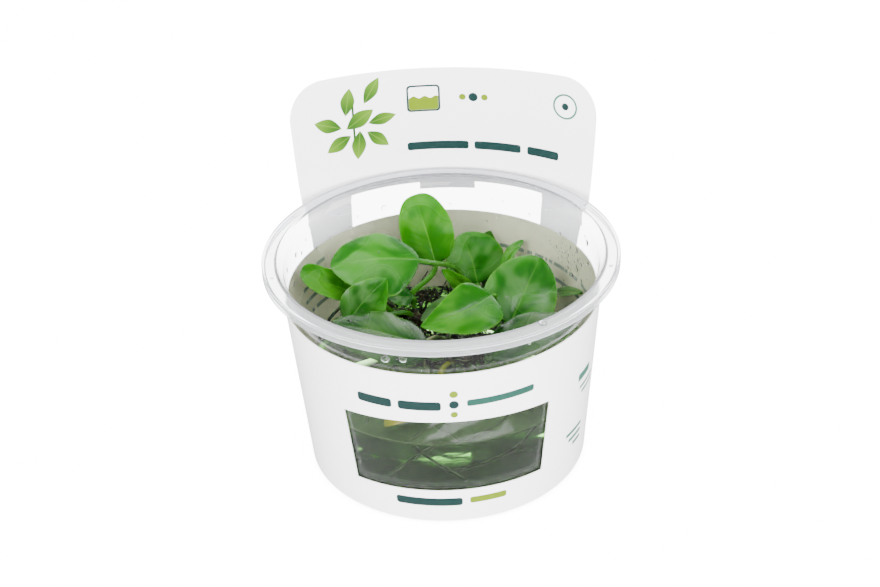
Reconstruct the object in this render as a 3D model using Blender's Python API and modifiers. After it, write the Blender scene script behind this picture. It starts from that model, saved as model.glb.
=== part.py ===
"""Water plant raised from tissue culture in its clear cup, with a card sleeve and hanging tag.

Metres, +Z up. The origin is the middle of the cup's flat base, and the tag stands at +Y.
"""
import math

import bmesh
import bpy
from mathutils import Vector

MM = 0.001
WELD = 0.01 * MM

# Cup: a tapered, thin moulded wall with a flat stepped flange
CUP_SIDES = 60
BASE_RADIUS = 39.6 * MM
BASE_CORNER = 1.4 * MM
WALL_TAPER = 0.0845
WALL = 0.8 * MM
FLOOR = 1.0 * MM
WALL_TOP = 60.5 * MM
FLANGE_RADIUS = 50.0 * MM
FLANGE_TOP = 64.3 * MM
FLANGE_PLATE = 1.0 * MM
SKIRT_FOOT = 61.8 * MM
LIP_RADIUS = 46.1 * MM
LIP_FOOT = 61.6 * MM
EDGE_ROUND = 0.4 * MM
LIP_ROUND = 0.5 * MM

# Card sleeve: a band around the cup, two legs and a tag behind the flange
GAP = 0.35 * MM
CARD = 0.35 * MM
BAND_FOOT = 0.6 * MM
BAND_TOP = 52.6 * MM
TAG_TURN = 3.3
COLUMN_STEP = 6.0
SEAM_AWAY = 50.0
TAG_CORNER_COLUMNS = (0.3, 1.3, 3.2, 6.2, 10.5, 14.2)
WINDOW_CENTRE = 176.9
WINDOW_HALF = 40.3
WINDOW_LEAN = 1.7
WINDOW_FOOT = 11.7 * MM
WINDOW_TOP = 36.5 * MM
WINDOW_FOOT_DROP = 0.8 * MM
WINDOW_TOP_DROP = 1.6 * MM
LEG_INNER = 39.5
LEG_OUTER = 61.0
TAB_HALF = 10.9
TAB_FOOT = 57.3 * MM
TAG_FOOT = 59.8 * MM
TAG_TOP = 96.8 * MM
TAG_CORNER = 11.0 * MM
TAG_NEAR = 50.4 * MM
TAG_BEND = 56.7 * MM
TAG_FLATTENING = 0.75

# Clear nutrient gel under the plant
GEL_TOP = 26.0 * MM
GEL_SIDES = 48
MENISCUS_RISE = 0.9 * MM
MENISCUS_RUN = 2.6 * MM

# Leaves: half thickness of a blade, of its outer edge and of its stalk
BLADE_THICK = 0.28 * MM
BLADE_EDGE = 0.12 * MM
STALK_RADIUS = 0.85 * MM
STALK_RINGS = 4
BLADE_RINGS = 10
RING_POINTS = 8

# Roots and creeping stems
ROOT_BEND_STEPS = 2
ROOT_RADIUS = 0.55 * MM

GREENS = {
    "bright": (0.19, 0.42, 0.03, 1),
    "deep": (0.04, 0.19, 0.02, 1),
    "mid": (0.10, 0.30, 0.05, 1),
    "yellow": (0.42, 0.48, 0.06, 1),
}

# Each leaf in millimetres: foot is the end of its stalk at the creeping stem, rise the way the stalk
# leaves it, base and tip the ends of the blade, bow the midrib's sideways swell, face the way the upper
# side looks, sides the two half widths, and fold and curl how far the halves lift at their edges.
LEAVES = {
    "leaf_tall": dict(
        green="bright", foot=(-11.5, 24, 31.4), rise=(0.2, 0.1, 1), base=(-1.8, 31, 42),
        tip=(-7.2, 36, 62.6), bow=(0.6, -1, 0), face=(0.05, -1, 0.3), sides=(7.8, 7.6),
        fold=0.12, curl=-0.1, widest=0.98, blunt=0.36),
    "leaf_broad": dict(
        green="mid", foot=(7.2, 29.6, 32.4), rise=(-0.1, 0.4, 1), base=(-6.8, 20, 49.2),
        tip=(-31.8, 12, 52.6), bow=(0, 1.5, 3), face=(-0.05, -0.55, 0.84), sides=(8.4, 12.4),
        fold=0.05, curl=-0.12, widest=0.95, blunt=0.6),
    "leaf_strap": dict(
        green="bright", foot=(-14, 20.2, 30.6), rise=(-0.6, -0.4, 0.8), base=(-25, 13.6, 43.2),
        tip=(-40.2, 8.5, 54.4), bow=(-0.5, 0.4, -1.8), face=(0.2, -0.7, 0.75), sides=(4, 4),
        fold=0.2, curl=0, widest=1.2, blunt=0.28),
    "leaf_mid_left": dict(
        green="mid", foot=(-9.6, 18.2, 31.6), rise=(-0.3, -0.6, 1), base=(-27.6, 5, 38.5),
        tip=(-15.6, 4.8, 52.8), bow=(-1, 0, 1), face=(-0.1, -0.9, 0.42), sides=(7.2, 5.6),
        fold=0.05, curl=-0.1, widest=0.72, blunt=0.8),
    "leaf_front_left": dict(
        green="deep", foot=(2.4, 1.4, 31.4), rise=(-0.4, -0.6, 1), base=(-5.4, -10.8, 39.2),
        tip=(-31.2, -6.6, 45.2), bow=(0, 1, 2), face=(0, -0.15, 1), sides=(8.3, 8.5),
        fold=0.1, curl=-0.1, widest=0.85, blunt=0.65),
    "leaf_narrow": dict(
        green="bright", foot=(9.4, 27.4, 30.9), rise=(0, -0.3, 1), base=(9, 25.4, 34.6),
        tip=(0.2, 22.4, 44.6), bow=(0.6, -0.4, -0.4), face=(-0.1, -0.95, 0.3), sides=(2.2, 2.2),
        fold=0.3, curl=0, widest=0.9, blunt=0.6),
    "leaf_right_centre": dict(
        green="mid", foot=(11, 31, 31.8), rise=(0, 0.1, 1), base=(10.6, 32.4, 33.4),
        tip=(6.4, 37, 48), bow=(1.2, 0.5, 0), face=(0.1, -0.95, 0.35), sides=(9.6, 8),
        fold=0.12, curl=-0.1, widest=0.88, blunt=0.55),
    "leaf_behind": dict(
        green="deep", foot=(13, 33.8, 30.6), rise=(0.2, 0.4, 1), base=(12.8, 37.6, 36),
        tip=(15.2, 38.8, 47.6), bow=(-0.6, 0.4, 0), face=(-0.2, -0.9, 0.3), sides=(3.8, 3.6),
        fold=0.15, curl=0, widest=0.9, blunt=0.7),
    "leaf_folded": dict(
        green="bright", foot=(11.6, 8.4, 31.8), rise=(0.3, 0.2, 1), base=(13.8, 5.6, 44.8),
        tip=(-6.5, -8, 44.3), bow=(1.5, -2.5, 0), face=(-0.2, -0.72, 0.66), sides=(6.6, 8.4),
        fold=0.42, curl=-0.1, widest=0.6, blunt=0.8),
    "leaf_right": dict(
        green="mid", foot=(15.8, 10, 31.2), rise=(0.8, 0.2, 0.5), base=(19.4, 10.2, 32),
        tip=(29.1, 20.2, 48.5), bow=(-0.5, -1.5, 0.5), face=(-0.05, -0.9, 0.45), sides=(10, 11),
        fold=0.06, curl=-0.08, widest=0.82, blunt=0.5),
    "leaf_front_right": dict(
        green="deep", foot=(12.4, 2.2, 31), rise=(0.2, -0.6, 1), base=(13, -9, 36.5),
        tip=(37, 0.5, 40), bow=(0, 1, 2.5), face=(0.05, -0.2, 1), sides=(6, 6),
        fold=0.1, curl=-0.1, widest=0.8, blunt=0.7),
    "leaf_far_right": dict(
        green="deep", foot=(18.4, 11.4, 29.2), rise=(0.6, 0.9, 0.1), base=(31.8, 22.4, 34.4),
        tip=(40.2, 5.5, 44.6), bow=(1.2, 2, 0), face=(-0.6, 0.1, 0.8), sides=(1.9, 1.9),
        fold=0.1, curl=0, widest=0.8, blunt=0.75),
    "leaf_shaded": dict(
        green="deep", foot=(7.6, 10.4, 31.2), rise=(0, 0.5, 1), base=(7.5, 15.5, 37),
        tip=(-6.6, 8, 36), bow=(0, 0, 1.5), face=(0, -0.45, 0.9), sides=(3.7, 3.7),
        fold=0.1, curl=0, widest=0.85, blunt=0.7),
    "leaf_small": dict(
        green="mid", foot=(-8.6, 22.6, 31.6), rise=(-0.3, 0, 1), base=(-9.2, 21.5, 35.6),
        tip=(-16.5, 21, 36.3), bow=(0, 0, 0.8), face=(0, -0.35, 0.95), sides=(3.4, 3.4),
        fold=0.1, curl=0, widest=0.85, blunt=0.7),
    "leaf_curled": dict(
        green="bright", foot=(14.8, 30, 30.4), rise=(0.8, 0, 0.7), base=(18.4, 31, 38),
        tip=(25, 34, 46.6), bow=(-1.4, 0, 1.2), face=(-0.9, -0.45, 0.3), sides=(2.2, 2.2),
        fold=0.2, curl=0, widest=1.0, blunt=0.6),
    "leaf_yellow": dict(
        green="yellow", foot=(2, 4, 28.4), rise=(-0.6, -0.8, 0.2), base=(-6, -22, 29.5),
        tip=(-17, -33, 29), bow=(0, 0, 1), face=(0, 0.1, 1), sides=(4.5, 4.5),
        fold=0.08, curl=0, widest=0.85, blunt=0.7),
    "leaf_low_right": dict(
        green="mid", foot=(15, 4.2, 28.6), rise=(0.6, -0.8, 0.2), base=(18, -16, 31),
        tip=(30, -26.5, 33.5), bow=(0, 0, 2), face=(-0.1, -0.2, 1), sides=(6, 6),
        fold=0.08, curl=0, widest=0.85, blunt=0.7),
}

# Creeping stems, each a short thick tube from end to end, in millimetres
RHIZOMES = {
    "rhizome_left": dict(path=((-14, 25, 28.6), (-10, 22.4, 29), (-6, 18, 28.8)), radius=1.9),
    "rhizome_back": dict(path=((15, 32, 28.2), (10, 30, 29), (4, 29.4, 28.4)), radius=1.8),
    "rhizome_right": dict(path=((4, 3.6, 28.8), (10, 6, 29.2), (17, 8.4, 28.6)), radius=2.0),
}

# Roots, in millimetres: each leaves its creeping stem and most end down in the gel
ROOTS = {
    "root_wall": dict(
        path=((-15.5, 24.6, 31), (-22, 20, 38), (-27.6, 11.4, 41.6), (-34, 9, 36), (-35.6, 6, 28))),
    "root_pale": dict(path=((2.4, 5.2, 30.6), (-3, -1, 36), (-6, -6, 36), (-4.6, -11, 31), (-4, -14, 14))),
    "root_left_deep": dict(path=((-10, 22.6, 26.6), (-13, 16, 20), (-20, 2, 14), (-23, -14, 9))),
    "root_left_bent": dict(path=((-6.4, 18, 26.4), (-4, 8, 20), (-8, -10, 15), (4, -26, 9))),
    "root_back_deep": dict(path=((9, 30, 26.8), (10, 24, 18), (20, 10, 10), (24, -8, 7))),
    "root_back_side": dict(path=((5, 29.4, 26.2), (-2, 31, 18), (-16, 27, 10), (-26, 16, 6))),
    "root_right_deep": dict(path=((14, 7.6, 26.2), (20, 0, 20), (16, -18, 15), (2, -30, 14))),
    "root_right_side": dict(path=((8, 5.4, 26.6), (8, -6, 19), (-6, -24, 18), (-16, -30, 12))),
}


def clear_scene():
    for thing in list(bpy.data.objects):
        bpy.data.objects.remove(thing, do_unlink=True)


def new_collection(name):
    collection = bpy.data.collections.new(name)
    bpy.context.scene.collection.children.link(collection)
    return collection


def finish_material(name, colour, roughness, transmission=0.0, ior=1.45):
    material = bpy.data.materials.new(name)
    material.use_nodes = True
    shader = material.node_tree.nodes["Principled BSDF"]
    shader.inputs["Base Color"].default_value = colour
    shader.inputs["Roughness"].default_value = roughness
    shader.inputs["Metallic"].default_value = 0.0
    shader.inputs["Transmission Weight"].default_value = transmission
    shader.inputs["IOR"].default_value = ior
    return material


def add_object(name, mesh, collection, material=None):
    thing = bpy.data.objects.new(name, mesh)
    collection.objects.link(thing)
    if material:
        mesh.materials.append(material)
    return thing


def shade_round(mesh, angle=35):
    mesh.shade_smooth()
    mesh.set_sharp_from_angle(angle=math.radians(angle))


def in_metres(point):
    return Vector(point) * MM


def smooth_step(share):
    share = min(max(share, 0.0), 1.0)
    return share * share * (3 - 2 * share)


def wall_radius(height):
    return BASE_RADIUS + height * WALL_TAPER


def turned(name, profile, sides, collection, material):
    """A closed profile of (radius, height) pairs, outer side first, turned about Z."""
    mesh = bpy.data.meshes.new(name)
    points = [(radius, 0, height) for radius, height in profile]
    mesh.from_pydata(points, [(i, i + 1) for i in range(len(points) - 1)], [])
    thing = add_object(name, mesh, collection, material)
    screw = thing.modifiers.new("Turn", "SCREW")
    screw.steps = screw.render_steps = sides
    screw.use_merge_vertices = True
    screw.merge_threshold = WELD
    return thing


def corner_arc(centre_radius, centre_height, size, start, end, steps=3):
    angles = [math.radians(start + (end - start) * i / steps) for i in range(steps + 1)]
    return [(centre_radius + size * math.cos(a), centre_height + size * math.sin(a)) for a in angles]


def make_cup(collection):
    """Wall, floor and flange as one turned shell, its profile run from the flange's lip down the outside."""
    inner_corner = BASE_CORNER - WALL * 0.5
    profile = [
        (wall_radius(WALL_TOP) - WALL, WALL_TOP),
        (wall_radius(WALL_TOP) - WALL + EDGE_ROUND, LIP_FOOT),
        (LIP_RADIUS - LIP_ROUND, FLANGE_TOP - EDGE_ROUND),
        (LIP_RADIUS, FLANGE_TOP),
        (FLANGE_RADIUS - EDGE_ROUND, FLANGE_TOP),
        (FLANGE_RADIUS, FLANGE_TOP - EDGE_ROUND),
        (FLANGE_RADIUS, SKIRT_FOOT),
        (FLANGE_RADIUS - WALL, SKIRT_FOOT),
        (FLANGE_RADIUS - WALL, FLANGE_TOP - FLANGE_PLATE),
        (LIP_RADIUS + LIP_ROUND, FLANGE_TOP - FLANGE_PLATE),
        (wall_radius(LIP_FOOT) + LIP_ROUND, LIP_FOOT),
        (wall_radius(WALL_TOP), WALL_TOP),
    ]
    profile += corner_arc(wall_radius(BASE_CORNER) - BASE_CORNER, BASE_CORNER, BASE_CORNER, 0, -90)
    profile += [(0, 0), (0, FLOOR)]
    inside = wall_radius(FLOOR + inner_corner) - WALL - inner_corner
    profile += corner_arc(inside, FLOOR + inner_corner, inner_corner, -90, 0, steps=2)
    profile.append(profile[0])
    clear = finish_material("clear_plastic", (0.93, 0.95, 0.94, 1), 0.06, transmission=1.0, ior=1.5)
    cup = turned("cup", profile, CUP_SIDES, collection, clear)
    shade_round(cup.data)
    return cup


def band_point(degrees, height):
    """A point of the sleeve's inner face on the tapered band."""
    angle = math.radians(degrees + TAG_TURN)
    radius = wall_radius(height) + GAP
    return Vector((radius * math.sin(angle), radius * math.cos(angle), height))


def tag_point(degrees, height):
    """A point of the tag's inner face, whose bend opens out towards its free top."""
    width = math.radians(degrees) * (wall_radius(BAND_TOP) + GAP)
    bend = TAG_BEND + (height - TAG_FOOT) * TAG_FLATTENING
    turn = math.radians(TAG_TURN)
    centre = TAG_NEAR - bend
    angle = turn + width / bend
    return Vector((
        centre * math.sin(turn) + bend * math.sin(angle),
        centre * math.cos(turn) + bend * math.cos(angle),
        height,
    ))


def leg_point(degrees, height):
    """A point between the band's top and the tag's foot, where the legs swing out round the flange."""
    share = smooth_step((height - BAND_TOP) / (TAG_FOOT - BAND_TOP))
    return band_point(degrees, height).lerp(tag_point(degrees, height), share)


def arc_length(degrees):
    return math.radians(abs(degrees)) * (wall_radius(BAND_TOP) + GAP)


def window_edges(degrees):
    """Lower and upper edge of the window at an angle from the tag's middle."""
    away = min(abs(degrees - WINDOW_CENTRE), WINDOW_HALF)
    share = away / WINDOW_HALF
    low = WINDOW_FOOT - WINDOW_FOOT_DROP * share ** 2
    high = WINDOW_TOP - WINDOW_TOP_DROP * share ** 2
    leaning_side = max(away - WINDOW_HALF + WINDOW_LEAN, 0.0) / WINDOW_LEAN
    return low + (high - low) * leaning_side, high


def tag_edge(degrees):
    """Height of the tag's top edge at an angle from its middle, rounded at the corners."""
    to_side = arc_length(LEG_OUTER) - arc_length(degrees)
    into_corner = max(TAG_CORNER - to_side, 0.0)
    return TAG_TOP - TAG_CORNER + math.sqrt(max(TAG_CORNER ** 2 - into_corner ** 2, 0.0))


def sleeve_columns():
    """Angles from the tag's middle, once around, with a column at each cut and more at the corners."""
    end = WINDOW_CENTRE + WINDOW_HALF + SEAM_AWAY
    start = end - 360
    count = round((end - start) / COLUMN_STEP)
    angles = [start + (end - start) * i / count for i in range(count + 1)]
    cuts = [-LEG_OUTER, -LEG_INNER, -TAB_HALF, TAB_HALF, LEG_INNER, LEG_OUTER]
    for side in (-1, 1):
        cuts += [side * (LEG_OUTER - step) for step in TAG_CORNER_COLUMNS]
        cuts += [WINDOW_CENTRE + side * (WINDOW_HALF - step) for step in (0, WINDOW_LEAN)]
    keep = [a for a in angles if min(abs(a - c) for c in cuts) > COLUMN_STEP * 0.3 or a in (start, end)]
    return sorted(keep + cuts)


def fill_strip(bm, place, sides, rows=1):
    """Quads between two columns, each given as its angle, foot and top."""
    left, right = (
        [place(angle, low + (high - low) * i / rows) for i in range(rows + 1)] for angle, low, high in sides)
    for i in range(rows):
        corners = [bm.verts.new(p) for p in (left[i + 1], right[i + 1], right[i], left[i])]
        bm.faces.new(corners)


def make_sleeve(collection):
    """The die-cut card as columns of quads, welded into one sheet and given its thickness."""
    bm = bmesh.new()
    columns = sleeve_columns()
    for a, b in zip(columns[:-1], columns[1:]):
        middle = (a + b) / 2
        (low_a, high_a), (low_b, high_b) = window_edges(a), window_edges(b)
        fill_strip(bm, band_point, ((a, BAND_FOOT, low_a), (b, BAND_FOOT, low_b)))
        fill_strip(bm, band_point, ((a, high_a, BAND_TOP), (b, high_b, BAND_TOP)))
        if abs(middle) > LEG_OUTER:
            continue
        fill_strip(bm, tag_point, ((a, TAG_FOOT, tag_edge(a)), (b, TAG_FOOT, tag_edge(b))), rows=2)
        if abs(middle) > LEG_INNER:
            fill_strip(bm, leg_point, ((a, BAND_TOP, TAG_FOOT), (b, BAND_TOP, TAG_FOOT)), rows=3)
        if abs(middle) < TAB_HALF:
            fill_strip(bm, tag_point, ((a, TAB_FOOT, TAG_FOOT), (b, TAB_FOOT, TAG_FOOT)))
    bmesh.ops.remove_doubles(bm, verts=bm.verts, dist=WELD)
    mesh = bpy.data.meshes.new("label_sleeve")
    bm.to_mesh(mesh)
    bm.free()
    card = finish_material("printed_card", (0.86, 0.87, 0.86, 1), 0.45)
    sleeve = add_object("label_sleeve", mesh, collection, card)
    wall = sleeve.modifiers.new("Card", "SOLIDIFY")
    wall.thickness = CARD
    wall.offset = 1.0
    wall.use_even_offset = True
    shade_round(mesh)
    return sleeve


def smooth_path(points, steps=ROOT_BEND_STEPS):
    """More points along a smooth curve that runs through the given ones."""
    ends = [points[0]] + list(points) + [points[-1]]
    path = []
    for a, b, c, d in zip(ends, ends[1:], ends[2:], ends[3:]):
        for i in range(steps):
            t = i / steps
            path.append(
                0.5 * (2 * b + (c - a) * t + (2 * a - 5 * b + 4 * c - d) * t ** 2
                       + (3 * b - a - 3 * c + d) * t ** 3))
    return path + [points[-1]]


def tube_mesh(name, path, radius, taper, sides):
    """A closed tube along a path, thinning to taper times its radius at the far end."""
    curve = bpy.data.curves.new(name, "CURVE")
    curve.dimensions = "3D"
    curve.bevel_depth = radius
    curve.bevel_resolution = (sides - 4) // 2
    curve.use_fill_caps = True
    spline = curve.splines.new("POLY")
    spline.points.add(len(path) - 1)
    for i, point in enumerate(path):
        spline.points[i].co = (*point, 1)
        spline.points[i].radius = 1 - (1 - taper) * i / (len(path) - 1)
    holder = bpy.data.objects.new(name, curve)
    bpy.context.scene.collection.objects.link(holder)
    evaluated = holder.evaluated_get(bpy.context.evaluated_depsgraph_get())
    mesh = bpy.data.meshes.new_from_object(evaluated)
    bpy.data.objects.remove(holder)
    bpy.data.curves.remove(curve)
    bm = bmesh.new()
    bm.from_mesh(mesh)
    bmesh.ops.remove_doubles(bm, verts=bm.verts, dist=WELD)
    bmesh.ops.recalc_face_normals(bm, faces=bm.faces)
    bm.to_mesh(mesh)
    bm.free()
    mesh.name = name
    return mesh


def make_rhizomes(collection):
    brown = finish_material("rhizome_skin", (0.05, 0.035, 0.02, 1), 0.6)
    for name, facts in RHIZOMES.items():
        path = smooth_path([in_metres(p) for p in facts["path"]])
        mesh = tube_mesh(name, path, facts["radius"] * MM, 0.9, 8)
        shade_round(mesh, 60)
        add_object(name, mesh, collection, brown)


def make_roots(collection, cutters):
    pale = finish_material("root_skin", (0.30, 0.30, 0.20, 1), 0.5)
    for name, facts in ROOTS.items():
        path = smooth_path([in_metres(p) for p in facts["path"]])
        mesh = tube_mesh(name, path, ROOT_RADIUS, 0.75, 6)
        shade_round(mesh, 60)
        add_object(name, mesh, collection, pale)
        if path[-1].z < GEL_TOP:
            before = path[0] + (path[0] - path[1]).normalized() * ROOT_RADIUS * 2
            beyond = path[-1] + (path[-1] - path[-2]).normalized() * GAP
            pocket = tube_mesh(name + "_pocket", [before, *path, beyond], ROOT_RADIUS + GAP, 0.85, 6)
            cutter = add_object(name + "_pocket", pocket, cutters)
            cutter.hide_render = True
            cutter.display_type = "WIRE"


def make_gel(collection, cutters):
    """The gel fills the cup to just over a third, with a raised rim, and is pierced by the roots."""
    def inside(height):
        return wall_radius(height) - WALL - GAP
    foot = FLOOR + GAP
    profile = [
        (0, GEL_TOP),
        (inside(GEL_TOP) - MENISCUS_RUN, GEL_TOP),
        (inside(GEL_TOP) - MENISCUS_RUN * 0.35, GEL_TOP + MENISCUS_RISE * 0.35),
        (inside(GEL_TOP), GEL_TOP + MENISCUS_RISE),
        (inside(foot + BASE_CORNER), foot + BASE_CORNER),
        (inside(foot) - BASE_CORNER, foot),
        (0, foot),
    ]
    clear = finish_material("clear_gel", (0.80, 0.86, 0.74, 1), 0.05, transmission=1.0, ior=1.34)
    gel = turned("nutrient_gel", profile, GEL_SIDES, collection, clear)
    for cutter in cutters.objects:
        cut = gel.modifiers.new(cutter.name, "BOOLEAN")
        cut.operation = "DIFFERENCE"
        cut.solver = "EXACT"
        cut.object = cutter
    shade_round(gel.data)
    return gel


def quadratic(a, b, c, t):
    return a * (1 - t) ** 2 + b * (2 * t * (1 - t)) + c * t ** 2


def cubic(a, b, c, d, t):
    s = 1 - t
    return a * s ** 3 + b * (3 * s * s * t) + c * (3 * s * t * t) + d * t ** 3


def leaf_line(facts):
    """Points from the stalk's foot to the blade's tip, and each point's share along the blade."""
    foot, base, tip = (in_metres(facts[key]) for key in ("foot", "base", "tip"))
    middle = (base + tip) / 2 + in_metres(facts["bow"])
    reach = (base - foot).length
    leave = foot + Vector(facts["rise"]).normalized() * reach * 0.4
    arrive = base - (middle - base).normalized() * reach * 0.35
    stalk = [cubic(foot, leave, arrive, base, i / STALK_RINGS) for i in range(STALK_RINGS)]
    shares = [0.5 - 0.5 * math.cos(math.pi * i / (BLADE_RINGS - 1)) for i in range(BLADE_RINGS)]
    blade = [quadratic(base, middle, tip, t) for t in shares]
    return stalk + blade, [0.0] * STALK_RINGS + shares


def leaf_ring(facts, point, along, share, on_stalk):
    """One closed cross-section: round on the stalk, a thin folded lens on the blade."""
    across = along.cross(Vector(facts["face"])).normalized()
    upward = across.cross(along)
    outline = 0.0
    if 0 < share < 1:
        outline = math.sin(math.pi * share ** facts["widest"]) ** facts["blunt"]
    neck = STALK_RADIUS * (1 - share) ** 2
    thick = BLADE_THICK + (STALK_RADIUS - BLADE_THICK) * (1 - smooth_step(share / 0.3))
    thick *= 1 - 0.5 * share ** 4
    points = []
    for i in range(RING_POINTS):
        angle = 2 * math.pi * i / RING_POINTS
        lateral, vertical = math.cos(angle), math.sin(angle)
        half = facts["sides"][0 if lateral > 0 else 1] * MM * outline
        reach = half + (STALK_RADIUS if on_stalk else max(neck, BLADE_EDGE))
        lift = half * (facts["fold"] * abs(lateral) + facts["curl"] * lateral ** 2)
        points.append(point + across * lateral * reach + upward * (vertical * thick + lift))
    return points


def make_leaf(name, facts, collection, material):
    line, shares = leaf_line(facts)
    rings = []
    for i, (point, share) in enumerate(zip(line, shares)):
        before, after = line[max(i - 1, 0)], line[min(i + 1, len(line) - 1)]
        rings.append(leaf_ring(facts, point, (after - before).normalized(), share, i < STALK_RINGS))
    bm = bmesh.new()
    grid = [[bm.verts.new(p) for p in ring] for ring in rings]
    for low, high in zip(grid[:-1], grid[1:]):
        for i in range(RING_POINTS):
            j = (i + 1) % RING_POINTS
            bm.faces.new((low[i], low[j], high[j], high[i]))
    bm.faces.new(grid[0][::-1])
    bm.faces.new(grid[-1])
    bmesh.ops.recalc_face_normals(bm, faces=bm.faces)
    mesh = bpy.data.meshes.new(name)
    bm.to_mesh(mesh)
    bm.free()
    shade_round(mesh, 60)
    return add_object(name, mesh, collection, material)


def make_leaves(collection):
    finishes = {key: finish_material("leaf_" + key, colour, 0.35) for key, colour in GREENS.items()}
    for name, facts in LEAVES.items():
        make_leaf(name, facts, collection, finishes[facts["green"]])


def main():
    clear_scene()
    parts = new_collection("potted_water_plant")
    cutters = new_collection("cutters")
    make_cup(parts)
    make_sleeve(parts)
    make_rhizomes(parts)
    make_roots(parts, cutters)
    make_gel(parts, cutters)
    make_leaves(parts)


main()
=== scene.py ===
"""Looks of a small water plant in its clear cup, with a card sleeve and hanging tag.

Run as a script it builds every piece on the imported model, metres and +Z up, and its pale studio.
"""

import math
import random

import bmesh
import bpy
from mathutils import Matrix, Vector


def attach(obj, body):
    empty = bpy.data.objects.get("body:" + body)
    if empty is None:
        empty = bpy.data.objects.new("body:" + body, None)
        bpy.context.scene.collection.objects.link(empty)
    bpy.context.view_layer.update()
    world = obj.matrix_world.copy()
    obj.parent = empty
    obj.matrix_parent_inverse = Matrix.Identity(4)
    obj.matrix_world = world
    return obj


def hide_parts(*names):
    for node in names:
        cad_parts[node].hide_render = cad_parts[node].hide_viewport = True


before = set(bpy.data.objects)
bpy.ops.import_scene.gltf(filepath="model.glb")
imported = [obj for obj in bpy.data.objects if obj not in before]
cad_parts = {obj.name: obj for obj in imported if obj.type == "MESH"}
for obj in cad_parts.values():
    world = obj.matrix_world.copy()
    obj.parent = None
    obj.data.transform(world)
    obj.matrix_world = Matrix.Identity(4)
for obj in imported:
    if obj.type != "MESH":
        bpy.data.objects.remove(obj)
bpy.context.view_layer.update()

bl_info = {
    "name": "Water Plant in a Cup",
    "version": (1, 0, 0),
    "blender": (4, 5, 0),
    "location": "3D View > Sidebar > Water Plant",
    "description": "Builds a water plant in its clear cup with a card sleeve, and its studio",
    "category": "Add Mesh",
}

MM = 0.001
WELD = 0.01 * MM

# Cup: a tapered, thin moulded wall with a flat stepped flange
BASE_RADIUS = 39.6 * MM
BASE_CORNER = 1.4 * MM
WALL_TAPER = 0.0845
WALL = 0.8 * MM
FLOOR = 1.0 * MM
WALL_TOP = 60.5 * MM
FLANGE_RADIUS = 50.0 * MM
FLANGE_TOP = 64.3 * MM
FLANGE_PLATE = 1.0 * MM
SKIRT_FOOT = 61.8 * MM
LIP_RADIUS = 46.1 * MM
LIP_FOOT = 61.6 * MM
EDGE_ROUND = 0.4 * MM
LIP_ROUND = 0.5 * MM
MILKY_FROM = LIP_RADIUS + 0.7 * MM
PLASTIC_IOR = 1.49
MIST_EDGE = (0.036, 0.046)

# Card sleeve: a band around the cup, two legs and a tag behind the flange
GAP = 0.35 * MM
BAND_FOOT = 0.6 * MM
BAND_TOP = 52.6 * MM
TAG_TURN = 3.3
COLUMN_STEP = 1.5
SEAM_AWAY = 50.0
TAG_CORNER_COLUMNS = (0.05, 0.2, 0.5, 1.0, 1.7, 2.6, 3.7, 5.0, 6.5, 8.2, 10.0, 12.0, 14.2)
WINDOW_CENTRE = 176.9
WINDOW_HALF = 40.3
WINDOW_LEAN = 1.7
WINDOW_FOOT = 11.7 * MM
WINDOW_TOP = 36.5 * MM
WINDOW_FOOT_DROP = 0.8 * MM
WINDOW_TOP_DROP = 1.6 * MM
LEG_INNER = 39.5
LEG_OUTER = 61.0
TAB_HALF = 10.9
TAB_FOOT = 57.3 * MM
TAG_FOOT = 59.8 * MM
TAG_TOP = 96.8 * MM
TAG_CORNER = 11.0 * MM
TAG_NEAR = 50.4 * MM
TAG_BEND = 56.7 * MM
TAG_FLATTENING = 0.75

# Clear nutrient gel under the plant
GEL_TOP = 26.0 * MM
MENISCUS_RISE = 1.4 * MM
MENISCUS_RUN = 3.2 * MM
MENISCUS_STEPS = 6
GEL_CLEARANCE = 0.02 * MM
GEL_SIDES = 96

# Leaves
BLADE_THICK = 0.26 * MM
BLADE_EDGE = 0.10 * MM
STALK_RADIUS = 0.85 * MM
STALK_RINGS = 12
BLADE_RINGS = 44
LEAF_SIDES = 44

ROOT_RADIUS = 0.55 * MM

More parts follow.
